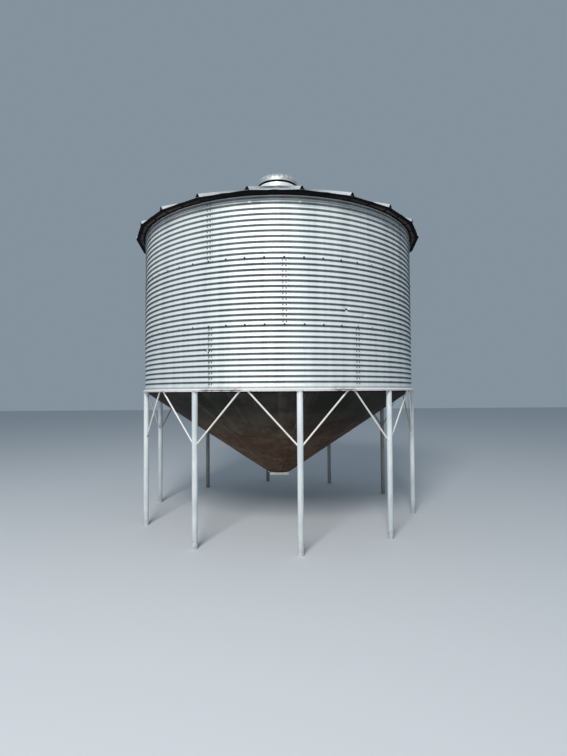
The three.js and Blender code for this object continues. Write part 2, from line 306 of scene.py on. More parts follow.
def fitted(piece, body, slot, finish, *nodes):
    """Gives a finished piece its finish and its body, and hides the nodes that it stands for; the slot is
    not used.
    """
    piece.data.materials.clear()
    piece.data.materials.append(finish.material)
    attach(piece, body)
    if nodes:
        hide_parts(*nodes)
    return piece


# %% [markdown]
# ## Round sheet metal
#
# Much of a silo is sheet rolled round its axis. By hand, one draws the section as a chain of edges,
# spins it round the axis and gives the skin a thickness. `drawn` extrudes one vertex through the
# section's points, and `spun` turns the chain.

# %% Draw a section and spin it


def drawn(name, points, closed=False):
    """A chain of edges through the points, made by extruding one vertex."""
    piece = settle(primitive("plane", name, points[0], size=0.01))
    route = list(points) + ([points[0]] if closed else [])
    with editing(piece):
        pick_all()
        bpy.ops.mesh.merge(type="CENTER")
        for here, there in zip(route, route[1:]):
            extrude(Vector(there) - Vector(here))
        merge_points()
    return piece


def spun(piece, steps, degrees=360):
    """Spins a piece's chain of edges towards larger bearings and makes its faces agree."""
    with editing(piece):
        pick_all()
        bpy.ops.mesh.spin(steps=steps, angle=-math.radians(degrees), center=(0, 0, 0), axis=UP)
        merge_points()
        face_outwards()
    return piece


def ring(name, profile, steps, first=0, closed=True):
    """A section of (radius, height) points spun all the way round from a bearing."""
    points = [at(radius, first, height) for radius, height in profile]
    return spun(drawn(name, points, closed), steps)


print("helpers ready")

# %% [markdown]
# ## Finishes as sums
#
# A material is easiest to read as a sum: so much dirt where this noise is high and that height is
# low. `Value` wraps a socket, and Python's operators on it add Math nodes. `Finish` is a material
# that starts from one tone and takes tints over it, and its nodes all come from one method.

# %% A small language for materials


class Value:
    """A number in a material's nodes."""

    def __init__(self, finish, socket):
        self.finish = finish
        self.socket = socket

    def math(self, operation, *others):
        values = dict(enumerate((self, *others)))
        return self.finish.node("Math", {"operation": operation}, values)

    def __add__(self, other):
        return self.math("ADD", other)

    def __sub__(self, other):
        return self.math("SUBTRACT", other)

    def __rsub__(self, other):
        return self * -1 + other

    def __mul__(self, other):
        return self.math("MULTIPLY", other)

    def __truediv__(self, other):
        return self.math("DIVIDE", other)

    def __abs__(self):
        return self.math("ABSOLUTE")

    __radd__ = __add__
    __rmul__ = __mul__

    def between(self, low, high):
        """0 below low, 1 above high and a smooth rise between; a fall where low is the larger."""
        limits = {"Value": self, "From Min": low, "From Max": high}
        return self.finish.node("MapRange", {"interpolation_type": "SMOOTHSTEP"}, limits)


def paint(red, green, blue):
    """A colour as a picture shows it, 0 to 255, as the linear light that a shader takes."""
    def linear(level):
        part = level / 255
        return part / 12.92 if part <= 0.04045 else ((part + 0.055) / 1.055) ** 2.4
    return (linear(red), linear(green), linear(blue), 1)


class Finish:
    """A material, and the nodes that lead to its shader."""

    def __init__(self, name, tone, **constants):
        self.material = bpy.data.materials.new(name)
        self.material.use_nodes = True
        self.shader = self.material.node_tree.nodes["Principled BSDF"]
        self.tone = tone
        self.set(Base_Color=paint(*tone), **constants)
        self.point = self.node("TexCoord", output="Object")
        parts = self.node("SeparateXYZ", {}, {0: self.point}, output=None)
        self.x, self.y, self.z = (Value(self, socket) for socket in parts.outputs)
        self.bearing = self.x.math("ARCTAN2", self.y * -1) * math.degrees(1)

    def set(self, **sockets):
        """Feeds the shader's sockets; Base_Color stands for Base Color."""
        for name, value in sockets.items():
            self.feed(self.shader.inputs[name.replace("_", " ")], value)

    def feed(self, socket, value):
        if isinstance(value, Value):
            self.material.node_tree.links.new(value.socket, socket)
        else:
            socket.default_value = value

    def node(self, kind, settings=None, inputs=None, output=0):
        """Adds a node with its settings first and then its inputs, and returns one output."""
        node = self.material.node_tree.nodes.new("ShaderNode" + kind)
        for name, value in (settings or {}).items():
            setattr(node, name, value)
        for name, value in (inputs or {}).items():
            self.feed(node.inputs[name], value)
        return node if output is None else Value(self, node.outputs[output])

    def stretched(self, along):
        """The place on the piece, scaled along each axis."""
        return self.node("VectorMath", {"operation": "MULTIPLY"}, {0: self.point, 1: along})

    def noise(self, scale, detail=3, rough=0.5, along=(1, 1, 1)):
        """Cloudy noise, 0 to 1, with about that many clouds to a metre."""
        inputs = {"Vector": self.stretched(along), "Scale": scale, "Detail": detail, "Roughness": rough}
        return self.node("TexNoise", {}, inputs)

    def cells(self, scale):
        """A random number for each of the cells, as in zinc spangle."""
        colour = self.node("TexVoronoi", {}, {"Vector": self.point, "Scale": scale}, "Color")
        return self.node("SeparateColor", {}, {0: colour})

    def mixed(self, amount, first, second):
        """The first tone where amount is 0 and the second where it is 1; each may be a mixture."""
        tones = [tone if isinstance(tone, Value) else paint(*tone) for tone in (first, second)]
        return self.node("Mix", {"data_type": "RGBA"}, {0: amount, 6: tones[0], 7: tones[1]}, 2)

    def tint(self, amount, tone):
        """Lays a tone over the colour so far, fully where the amount is 1."""
        self.tone = self.mixed(amount, self.tone, tone)
        self.set(Base_Color=self.tone)

    def surface(self, roughness, relief=None, depth=0):
        """Feeds the roughness, and bumps that are a depth high where relief is 1."""
        self.set(Roughness=roughness)
        if relief is not None:
            bump = {"Height": relief, "Distance": depth, "Strength": 1}
            self.set(Normal=self.node("Bump", {}, bump))


print("finishes ready")

# %% [markdown]
# ## The wall's finish
#
# The wall is galvanised steel that has stood outside for years: pale grey zinc with a fine spangle,
# a slightly different tone on each sheet, and rain streaks. From below, the slopes that face down
# show as thin dark lines, painted shade with some dust and damp that stay there out of the rain.
# That painted shade and grime follows the corrugations, so it is a wave in the height, and it bends
# round the larger dent. A thin painted shadow runs along each sheet's lapped edge, and the torn edge
# has a painted shadow beside a tongue that the lines leave light. Each sheet's tone, and the bearing
# of its lapped edge, are attributes on its mesh.

# %% Galvanised wall finish
SHADE_AND_DIRT_RISE = 0.003
SHADE_AND_DIRT_SHIFT = 0.010
LAPPED_ANGLE = 0.9
FIRST_SEAM = -22.5
TEAR_BEARING = FIRST_SEAM - LAPPED_ANGLE
TEAR_HEIGHT = WALL_BOTTOM + 0.520
TEAR_HALF_HEIGHT = 0.030
TEAR_LEAN = 7
KNOCK_BEARING = 23.9
KNOCK_HEIGHT = WALL_BOTTOM + 1.033
SECOND_KNOCK_BEARING = 31.4
SECOND_KNOCK_HEIGHT = WALL_BOTTOM + 0.973
KNOCK_LIFT = 0.018


def near(finish, bearing, height, half_angle, half_height):
    """1 round a place on the wall and 0 past the two half sizes, with soft edges."""
    across = abs(finish.bearing - bearing).between(half_angle * 1.3, half_angle * 0.7)
    return across * abs(finish.z - height).between(half_height * 1.3, half_height * 0.7)


wall_finish = Finish("galvanised_wall", (234, 240, 240), Metallic=0.25)
sheet_tone = wall_finish.node("Attribute", {"attribute_name": "tone"}, {}, "Fac")
sheet_edge = wall_finish.node("Attribute", {"attribute_name": "edge"}, {}, "Fac")
# The thin dark lines on the slopes that face down are painted shade, with some grime.
rise = wall_finish.z - (WALL_BOTTOM + SHADE_AND_DIRT_RISE) - (sheet_tone - 0.22) * SHADE_AND_DIRT_SHIFT
# Near the larger dent the painted shade lines bend round it.
rise = rise - KNOCK_LIFT * near(wall_finish, KNOCK_BEARING, KNOCK_HEIGHT, 0.5, 0.04)
facing_down = (rise * (2 * math.pi / PITCH)).math("COSINE")
streaks = wall_finish.noise(9, 4, 0.6, along=(1, 1, 0.04))
shade_and_dirt_lines = facing_down.between(0.05, 0.72) * (0.75 + 0.35 * streaks)
shade_and_dirt_lines = shade_and_dirt_lines * wall_finish.z.between(SILL + 0.045, SILL + 0.065).math("MAXIMUM", 0.3)
# The painted shade lines are left off the torn tongue, so that it shows light.
shade_and_dirt_lines = shade_and_dirt_lines * (1 - near(wall_finish, TEAR_BEARING - 0.2, TEAR_HEIGHT, 0.35, TEAR_HALF_HEIGHT))
# The dark slanting line by the torn edge, and the spot left of it, are a painted shadow.
lean = (wall_finish.z - TEAR_HEIGHT) * TEAR_LEAN
torn_edge_shadow_line = abs(wall_finish.bearing - (TEAR_BEARING + 0.38) - lean).between(0.30, 0.18)
torn_edge_shadow = torn_edge_shadow_line * abs(wall_finish.z - TEAR_HEIGHT).between(TEAR_HALF_HEIGHT, 0.022)
torn_edge_shadow = torn_edge_shadow + near(wall_finish, TEAR_BEARING - 0.9, TEAR_HEIGHT + 0.013, 0.17, 0.012)
# A thin painted shadow along each sheet's lapped edge.
from_edge = abs((wall_finish.bearing - sheet_edge).math("WRAP", 180, -180))
lap_shadow_line = from_edge.between(0.12, 0.02)
spangle = wall_finish.cells(70)
wall_finish.tint(streaks.between(0.35, 0.75), (214, 222, 222))
wall_finish.tint(spangle * 0.25, (194, 204, 206))
wall_finish.tint(sheet_tone, (205, 213, 215))
wall_finish.tint(lap_shadow_line * 0.5, (120, 122, 122))
# The painted shade lines are lighter in the upper tier.
in_upper_tier = wall_finish.z.between(WALL_TOP - 1.1 * TIER_HEIGHT, WALL_TOP - 0.8 * TIER_HEIGHT)
shade_and_dirt_tone = wall_finish.mixed(in_upper_tier, (58, 62, 64), (80, 86, 88))
wall_finish.tint(shade_and_dirt_lines, shade_and_dirt_tone)
# Painted shadow of the torn edge.
wall_finish.tint(torn_edge_shadow.math("MINIMUM", 1), (12, 14, 14))
near_foot = (wall_finish.z - WALL_BOTTOM).between(0.16, 0.04)
dust = near_foot * wall_finish.noise(14, 4, 0.7, along=(1, 1, 0.3)).between(0.4, 0.8)
wall_finish.tint(dust * 0.5, (168, 150, 138))
wall_finish.surface(0.42 + 0.12 * spangle + 0.25 * shade_and_dirt_lines, spangle * 0.3 + wall_finish.noise(6, 2), 0.0008)
print("wall finish ready")

# %% [markdown]
# ## Corrugated wall sheets
#
# Fifteen sheets make the wall: four full ones and a short one in each tier. Each is rolled with
# waves that run round the silo, and laps over its neighbour at its right edge and over the tier
# below at its foot. A sheet is a wavy upright line, spun through its own angle, and the edges that
# lie on top are drawn out by the thickness of a sheet. The seams are counted in shares of the
# circle: a full sheet spans three shares and a short one two, of fourteen.

# %% Model the sheets
CORRUGATION_DEPTH = 0.0127
SHEET_THICKNESS = 0.0012
LAP_LIFT = 0.0016
POINTS_PER_WAVE = 10
SHARE_ANGLE = 360 / 14
STEPS_PER_SHARE = 12
SHORT, FULL = 2, 3
TUCKED_ANGLE = 1.9
FOOT_LAP = 0.12 * PITCH
HEAD_LAP = 0.45 * PITCH
LIFTED_FOOT = 0.36 * PITCH
FOOT_CLEARANCE = 0.001


def wave_radius(height):
    """The wall's outside radius at a height above a tier's foot."""
    return WALL_RADIUS - CORRUGATION_DEPTH / 2 * (1 - math.sin(2 * math.pi * height / PITCH))


def bearing_of(place):
    """The bearing of a point."""
    return math.degrees(math.atan2(place.x, -place.y))


def faced(piece, outward):
    """Turns an open skin's faces to the side that outward gives for a place on it."""
    if sum(face.normal.dot(outward(face.center)) for face in piece.data.polygons) < 0:
        with editing(piece):
            pick_all()
            bpy.ops.mesh.flip_normals()
    return piece


def from_axis(place):
    return Vector((place.x, place.y, 0))


def lifted(piece, test, layers=1):
    """Draws the picked points of a sheet out from the axis, over one lapped layer or more."""
    scale = 1 + layers * LAP_LIFT / WALL_RADIUS
    with editing(piece):
        pick(piece, "verts", test)
        bpy.ops.transform.resize(value=(scale, scale, 1), center_override=(0, 0, 0))


sheet_height = FOOT_LAP + TIER_HEIGHT + HEAD_LAP
point_count = round(sheet_height / PITCH * POINTS_PER_WAVE)
heights = [-FOOT_LAP + i * sheet_height / point_count for i in range(point_count + 1)]
wave = drawn("wave", [at(wave_radius(h), -TUCKED_ANGLE, WALL_BOTTOM + h) for h in heights])


def rolled(shares, is_low):
    """A sheet that starts at bearing 0; a low one is cut off where it stands on the ring."""
    width = shares * SHARE_ANGLE
    piece = copied(wave, "sheet", Matrix())
    spun(piece, shares * STEPS_PER_SHARE, width + TUCKED_ANGLE + LAPPED_ANGLE)
    faced(piece, from_axis)
    lifted(piece, lambda place: place.z < WALL_BOTTOM + LIFTED_FOOT)
    lifted(piece, lambda place: bearing_of(place) > width - TUCKED_ANGLE)
    if is_low:
        with editing(piece):
            cut((0, 0, SILL + FOOT_CLEARANCE), UP, clear_inner=True)
    thickened(piece, SHEET_THICKNESS)
    return smooth(piece, 50)


sheets = {(shares, is_low): rolled(shares, is_low) for shares in (SHORT, FULL) for is_low in (False, True)}
removed(wave)
print("sheet patterns:", [len(pattern.data.polygons) for pattern in sheets.values()], "faces")

# %% [markdown]
# The tiers' upright seams are staggered. At the first seam of the lowest tier the sheets lap the
# other way, so that sheet is cut back to the lap and drawn out over its neighbour. Every wall has a
# few knocks: here that edge is torn and sprung open in one place, and one sheet has two small
# dents, made by pulling a finer patch of points with proportional editing.

# %% Copy the sheets round the wall
rng = random.Random(7)


def pulled(piece, bearing, height, distance, size):
    """Pulls the wall near a place out by a distance, or in where it is negative."""
    place = at(WALL_RADIUS, bearing, height)
    with editing(piece):
        pick(piece, "faces", lambda point: (point - place).length < 1.5 * size)
        bpy.ops.mesh.subdivide(number_cuts=4)
        corners = [v.co.copy() for v in bmesh.from_edit_mesh(piece.data).verts]
        nearest = min((corner - place).length for corner in corners)
        pick(piece, "verts", lambda point: (point - place).length < nearest + 0.012)
        out = from_axis(place).normalized() * distance
        bpy.ops.transform.translate(
            value=out, use_proportional_edit=True, proportional_size=size,
            proportional_edit_falloff="SMOOTH")


TIER_SHEETS = {
    "lower": (SHORT, FULL, FULL, FULL, FULL),
    "middle": (FULL, SHORT, FULL, FULL, FULL),
    "upper": (FULL, FULL, FULL, SHORT, FULL),
}
FIRST_SHARE = {"lower": 0, "middle": 1, "upper": 0}
TONE_RANGE = 0.45
REVERSED_LAYERS = 2.4


def seams_of(tier_name):
    """The bearing of each sheet's left seam, with the shares that the sheet spans."""
    shares_past = FIRST_SHARE[tier_name]
    seams = []
    for shares in TIER_SHEETS[tier_name]:
        seams.append((FIRST_SEAM + shares_past * SHARE_ANGLE, shares))
        shares_past += shares
    return seams


def marked(piece, name, value):
    """Gives a whole mesh one value of an attribute, for its finish to read."""
    attribute = piece.data.attributes.new(name, "FLOAT", "POINT")
    attribute.data.foreach_set("value", [value] * len(piece.data.vertices))


wall_sheets = {}
for tier, tier_name in enumerate(TIERS):
    for number, (seam, shares) in enumerate(seams_of(tier_name), 1):
        place = Matrix.Translation((0, 0, tier * TIER_HEIGHT)) @ turn(seam)
        piece = copied(sheets[shares, tier == 0], f"corrugated_sheet_{tier_name}_{number}", place)
        marked(piece, "tone", rng.uniform(0, TONE_RANGE))
        marked(piece, "edge", seam + shares * SHARE_ANGLE + LAPPED_ANGLE)
        fitted(piece, "silo", "galvanised_wall", wall_finish, f"wall_sheet_{tier_name}_{number}")
        wall_sheets[tier_name, number] = piece
removed(*sheets.values())

reversed_lap = wall_sheets["lower", 1]
lifted(reversed_lap, lambda place: bearing_of(place) < FIRST_SEAM + 1, REVERSED_LAYERS)
with editing(reversed_lap):
    cut((0, 0, 0), at(1, TEAR_BEARING + 90, 0), clear_inner=True, use_fill=True)
dented = wall_sheets["middle", 1]
pulled(reversed_lap, TEAR_BEARING, TEAR_HEIGHT, distance=0.005, size=0.022)
pulled(dented, KNOCK_BEARING, KNOCK_HEIGHT, distance=-0.012, size=0.040)
pulled(dented, SECOND_KNOCK_BEARING, SECOND_KNOCK_HEIGHT, distance=-0.010, size=0.030)
print(len(wall_sheets), "sheets")

# %% [markdown]
# ## Wall bolts
#
# Two rows of bolts close each upright lap, one pair in every valley, and one row closes each level
# lap near its crest. Each bolt is a hexagon head on a grey sealing washer. A head and a washer are
# modelled once, with few faces, and strewn over the wall. The level rows are dark, and lighter away
# from the front.

# %% Model a bolt and strew it
BOLT_HEAD = 0.0070
BOLT_HEIGHT = 0.0065
WASHER_RADIUS = 0.0100
WASHER_HEIGHT = 0.0025
SEAM_COLUMNS = (-1.15, -0.05)
REVERSED_COLUMNS = (-0.6, 0.4)
SEAM_ROW = 0.70
LEVEL_ROW = 0.22
LEVEL_WASHER = 0.013
BOLTS_ROUND = 56
FIRST_BOLT = 2.6

bolt_finish = Finish("zinc_bolt", (152, 154, 154), Metallic=0.6)
bolt_spots = bolt_finish.noise(60, 3).between(0.45, 0.7)
bolt_finish.tint(bolt_spots, (116, 108, 102))
bolt_finish.surface(0.45 + 0.25 * bolt_spots)
dark_bolt_finish = Finish("dark_bolt", (58, 62, 64), Metallic=0.2)
bolt_dirt = dark_bolt_finish.noise(60, 3)
dark_bolt_finish.tint(bolt_dirt, (40, 42, 42))
# The level bolts are painted lighter away from the front.
lighter_past_front = abs(dark_bolt_finish.bearing).between(22, 40) * 0.8
dark_bolt_finish.tint(lighter_past_front, (134, 140, 142))
dark_bolt_finish.surface(0.7 + 0.2 * bolt_dirt)
washer_finish = Finish("sealing_washer", (84, 86, 88))
washer_dust = washer_finish.noise(40, 2).between(0.4, 0.8)
washer_finish.tint(washer_dust, (112, 110, 108))
washer_finish.surface(0.75 + 0.1 * washer_dust)


def bolt_head(name, radius, height, lift):
    """A hexagon head that stands up from a lift along Z, with its top edge eased."""
    head = primitive("cylinder", name, (0, 0, lift + height / 2), vertices=6, radius=radius, depth=height)
    with editing(head):
        pick(head, "faces", lambda place: place.z > height / 2 + 0.01 * height)
        bpy.ops.mesh.inset(thickness=radius * 0.18)
        move((0, 0, height * 0.15))
    return settle(head)


def washer(name, radius, height):
    """A washer that is a little smaller at its top."""
    piece = primitive("cylinder", name, (0, 0, height / 2), vertices=12, radius=radius, depth=height)
    with editing(piece):
        pick(piece, "faces", lambda place: place.z > height * 0.4)
        bpy.ops.transform.resize(value=(0.75, 0.75, 1))
    return settle(piece)


def on_wall(bearing, height, layers=1):
    """The place of a bolt on the wall's layers, pointing out from the axis."""
    radius = wave_radius(height) + layers * LAP_LIFT
    out = Matrix.Rotation(math.radians(90), 4, "X")
    return turn(bearing) @ Matrix.Translation((0, -radius, WALL_BOTTOM + height)) @ out


head_pattern = bolt_head("head", BOLT_HEAD, BOLT_HEIGHT, WASHER_HEIGHT)
washer_pattern = washer("washer", WASHER_RADIUS, WASHER_HEIGHT)
for tier, tier_name in enumerate(TIERS):
    places = []
    for number, (seam, shares) in enumerate(seams_of(tier_name)):
        is_reversed = tier == 0 and number == 0
        columns = REVERSED_COLUMNS if is_reversed else SEAM_COLUMNS
        layers = REVERSED_LAYERS if is_reversed else 1
        for row in range(CORRUGATIONS):
            height = tier * TIER_HEIGHT + (row + SEAM_ROW) * PITCH
            places += [on_wall(seam + column, height, layers) for column in columns]
    heads = strewn(f"wall_bolt_heads_{tier_name}", head_pattern, places)
    fitted(heads, "silo", "galvanised_wall", bolt_finish)
    seals = strewn(f"wall_bolt_washers_{tier_name}", washer_pattern, places)
    fitted(smooth(seals), "silo", "galvanised_wall", washer_finish)
    print(tier_name, len(places), "bolts")
level_washer = washer("level_washer", LEVEL_WASHER, WASHER_HEIGHT)
for tier in (1, 2):
    height = tier * TIER_HEIGHT + LEVEL_ROW * PITCH
    places = [on_wall(FIRST_BOLT + i * 360 / BOLTS_ROUND, height) for i in range(BOLTS_ROUND)]
    heads = strewn(f"level_bolt_heads_{tier}", head_pattern, places)
    seals = strewn(f"level_bolt_washers_{tier}", level_washer, places)
    level_bolts = joined(f"level_bolts_{tier}", [heads, seals])
    fitted(level_bolts, "silo", "galvanised_wall", dark_bolt_finish)
removed(level_washer)
print("level rows", len(places), "bolts each")

# %% [markdown]
# ## Base ring
#
# The wall stands on a flat steel ring. A sloping strip outside it sheds the rain past the ring, so
# it stands out from the wall at its foot. Ring and strip are one closed section that is spun round
# the axis, and a bevel rounds its edges. It is pale, with dust and rust where water runs off the
# wall, most of it in a few places, and dirt lies as a dark line along the strip's foot.

# %% Spin the base ring
RING_INNER = 2.062
RING_OUTER = 2.190
SKIRT_INNER = 2.146
SKIRT_THICKNESS = 0.003
SKIRT_TOP = SILL + 0.030
RING_STEPS = 140
DIRTY_BEARINGS = ((-18.5, 7), (22, 4))

ring_finish = Finish("ring_steel", (240, 240, 240), Metallic=0.1)
runs = ring_finish.noise(16, 4, 0.7, along=(1, 1, 0.15))
edge_rust = ring_finish.z.between(RING_BOTTOM + 0.014, RING_BOTTOM + 0.001)
dirty = sum(abs(ring_finish.bearing - middle).between(half + 1.5, half - 1.5)
            for middle, half in DIRTY_BEARINGS)
rust = (runs.between(0.55, 0.80) * 0.5 + edge_rust * runs.between(0.4, 0.7) * 0.8).between(0.05, 0.9)
ring_finish.tint(ring_finish.noise(30, 3), (224, 223, 221))
ring_finish.tint(dirty * runs.between(0.3, 0.6) * 0.55, (124, 118, 112))
foot_line = abs(ring_finish.z - SILL - 0.005).between(0.008, 0.004)
foot_line = foot_line * (0.25 + 0.5 * dirty + 0.3 * runs)
ring_finish.tint(foot_line.math("MINIMUM", 1), (52, 52, 50))
ring_finish.tint(rust * 0.8, (122, 108, 96))
ring_finish.surface(0.55 + 0.3 * rust, ring_finish.noise(120, 3), 0.0006)

base_ring = ring("base_ring_and_skirt", [
    (RING_INNER, RING_BOTTOM), (RING_OUTER, RING_BOTTOM), (RING_OUTER, SILL),
    (SKIRT_INNER + SKIRT_THICKNESS, SKIRT_TOP), (SKIRT_INNER, SKIRT_TOP), (SKIRT_INNER, SILL),
    (RING_INNER, SILL),
], RING_STEPS)
eased(base_ring, 0.0012)
fitted(smooth(base_ring), "silo", "ring_steel", ring_finish, "base_ring")
counted(base_ring)

# %% [markdown]
# ## Pipe legs
#
# Ten steel pipes carry the silo, welded to the underside of the ring. One leg is a tube with a wall
# thickness and a weld bead round its top. The bead is a thin torus, pulled in and out a little all
# round as a hand-laid weld is. The paint is chalky white, with dirt splashed up from the ground and
# a little rust at the weld. The legs at the back are painted dull and dark as their shade, with some
# old dirt.

# %% Model one leg and copy it
LEG_COUNT = 10
LEG_RADIUS = 0.0365
LEG_CIRCLE = 2.15
FIRST_LEG = 7.3
LEG_WALL = 0.004
LEG_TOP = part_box("leg_01")[1].z
LEG_BEARINGS = [FIRST_LEG + i * 360 / LEG_COUNT for i in range(LEG_COUNT)]
BEAD_STEPS = 40
BEAD_SIDES = 6

leg_finish = Finish("leg_paint", (226, 231, 231))
chalk = leg_finish.noise(5, 4, 0.6, along=(1, 1, 0.3))
specks = leg_finish.noise(85, 3, 0.7).between(0.62, 0.72)
weld_rust = leg_finish.z.between(LEG_TOP - 0.05, LEG_TOP) * leg_finish.noise(40, 3).between(0.35, 0.7)
splash = leg_finish.z.between(0.30, 0.0) * leg_finish.noise(25, 4, 0.7).between(0.3, 0.8)
leg_finish.tint(chalk.between(0.3, 0.7), (190, 198, 199))
leg_finish.tint((specks * 0.5 + weld_rust * 0.6).between(0, 1), (126, 94, 74))
leg_finish.tint(splash * 0.7, (150, 134, 116))
# The legs at the back are painted darker as their shade, with some old dirt.
rear_shade_and_dirt = leg_finish.y.between(0.5, 0.9) * (0.55 + 0.35 * chalk)
leg_finish.tint(rear_shade_and_dirt, (98, 94, 84))
leg_finish.surface(0.52 + 0.2 * chalk, leg_finish.noise(180, 3), 0.0004)


def bead(name, place, rotation, wide, tall, thick=0.003):
    """A weld bead: an oval ring that swells and narrows along its length."""
    piece = primitive("torus", name, place, rotation, major_radius=wide, minor_radius=thick,
                      major_segments=BEAD_STEPS, minor_segments=BEAD_SIDES)
    with editing(piece):
        bpy.ops.mesh.select_mode(type="VERT")
        for first in range(0, BEAD_STEPS * BEAD_SIDES, 2 * BEAD_SIDES):
            bpy.ops.mesh.select_all(action="DESELECT")
            mesh = bmesh.from_edit_mesh(piece.data)
            mesh.verts.ensure_lookup_table()
            section = mesh.verts[first:first + BEAD_SIDES]
            for vert in section:
                vert.select_set(True)
            bmesh.update_edit_mesh(piece.data)
            middle = piece.matrix_world @ (sum((v.co for v in section), Vector()) / BEAD_SIDES)
            bpy.ops.transform.resize(value=(0.8, 0.8, 0.8), center_override=middle)
    piece.scale = (1, tall / wide, 1)
    return settle(piece)


leg = primitive("cylinder", "leg", (0, -LEG_CIRCLE, LEG_TOP / 2), vertices=32, radius=LEG_RADIUS,
                depth=LEG_TOP, end_fill_type="NOTHING")
settle(leg)
thickened(leg, LEG_WALL)
eased(leg, 0.001, sharp=40)
bead_radius = LEG_RADIUS + 0.001
leg_bead = bead("leg_bead", (0, -LEG_CIRCLE, LEG_TOP - 0.003), (0, 0, 0), bead_radius, bead_radius)
leg = smooth(joined("leg", [leg, leg_bead]))
for number, bearing in enumerate(LEG_BEARINGS, 1):
    piece = copied(leg, f"pipe_leg_{number:02d}", turn(bearing))
    fitted(piece, "silo", "leg_paint", leg_finish, f"leg_{number:02d}")
removed(leg)
print(LEG_COUNT, "legs")

# %% [markdown]
# ## Braces
#
# Two thinner pipes run up from each leg to the ring, one to each side. A brace starts as a tube
# along the line between its two joints. One cut leaves its top level, against the ring, and another
# leaves its foot upright, inside the leg's wall. Each joint has its bead. The second brace is the
# first one built to the other side.

# %% Model a pair of braces and copy it
BRACE_RADIUS = 0.0107
BRACE_DROP = 0.656
BRACE_TOP_SPREAD = 1.45

brace_finish = Finish("brace_paint", (240, 238, 232))
brace_clouds = brace_finish.noise(7, 4, 0.6)
brace_specks = brace_finish.noise(110, 3, 0.7).between(0.64, 0.74)
brace_finish.tint(brace_clouds.between(0.3, 0.75), (218, 214, 204))
near_ring = brace_finish.z.between(RING_BOTTOM - 0.04, RING_BOTTOM) * 0.6
brace_wear = (brace_specks * 0.6 + near_ring * brace_clouds.between(0.3, 0.6)).between(0, 1)
brace_finish.tint(brace_wear, (118, 88, 68))
# The braces at the back are painted darker as their shade, with some old dirt.
rear_shade_and_dirt = brace_finish.y.between(0.3, 0.9) * 0.85
brace_finish.tint(rear_shade_and_dirt, (98, 92, 82))
brace_finish.surface(0.5 + 0.2 * brace_clouds, brace_finish.noise(200, 3), 0.0004)


def brace(side):
    """A brace from the leg at the front to the ring, to the left for -1 or the right for 1."""
    low = at(LEG_CIRCLE, 0, WALL_BOTTOM - BRACE_DROP)
    high = at(LEG_CIRCLE, side * (180 / LEG_COUNT - BRACE_TOP_SPREAD), LEG_TOP)
    run = high - low
    lie = run.to_track_quat("Z", "Y").to_euler()
    flat = Vector((run.x, run.y, 0)).normalized()
    pipe = primitive("cylinder", "pipe", (low + high) / 2, lie, vertices=24, radius=BRACE_RADIUS,
                     depth=run.length + 0.1)
    settle(pipe)
    with editing(pipe):
        cut(high, UP, clear_outer=True, use_fill=True)
        cut(low + flat * (LEG_RADIUS - LEG_WALL * 1.4), flat, clear_inner=True, use_fill=True)
    slant = 1 / math.sin(run.angle(flat))
    foot_place = low + run * (LEG_RADIUS - 0.001) / run.dot(flat)
    upright = flat.to_track_quat("Z", "Y").to_euler()
    heading = (0, 0, math.atan2(flat.y, flat.x) + math.pi / 2)
    round_size = BRACE_RADIUS + 0.001
    foot_bead = bead("foot_bead", foot_place, upright, round_size, round_size * slant)
    head_bead = bead("head_bead", high - Vector((0, 0, 0.002)), heading, round_size, round_size * slant)
    return smooth(joined("brace", [pipe, foot_bead, head_bead]))


for side, side_name in ((-1, "left"), (1, "right")):
    pattern = brace(side)
    for number, bearing in enumerate(LEG_BEARINGS, 1):
        piece = copied(pattern, f"pipe_brace_{number:02d}_{side_name}", turn(bearing))
        fitted(piece, "silo", "brace_paint", brace_finish, f"brace_{number:02d}_{side_name}")
    removed(pattern)
print("braces done")

# %% [markdown]
# ## Hopper
#
# The hopper is a plain steel cone, near black at its top and browner and lighter towards its mouth,
# partly its own old paint and rust and partly painted shade from the wall above. Painted shade also
# darkens the right of its top and the rim under the ring. It has pale runs down the slope, and each
# of its plates has a tone of its own. It hangs from the ring by a short upright rim. Its plates are
# welded edge to edge, so fine beads run down its slope and one runs round it. Rim and cone are one
# line, spun and thickened inwards. The beads are thin rods laid on its outside.

# %% Spin the hopper
HOPPER_TOP_RADIUS = 2.106
HOPPER_MOUTH_RADIUS = 0.190
HOPPER_PLATE = 0.004
HOPPER_STEPS = 144
HOPPER_GORES = 9
FIRST_GORE = 9.5
GIRTH_RADIUS = 1.19
HOPPER_SHOULDER = WALL_BOTTOM + 0.006
HOPPER_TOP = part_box("hopper_cone")[1].z
HOPPER_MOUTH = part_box("hopper_cone")[0].z
HOPPER_SLOPE = (HOPPER_SHOULDER - HOPPER_MOUTH) / (HOPPER_TOP_RADIUS - HOPPER_MOUTH_RADIUS)


def hopper_height(radius):
    """The height of the hopper's outside at a radius."""
    return HOPPER_MOUTH + (radius - HOPPER_MOUTH_RADIUS) * HOPPER_SLOPE


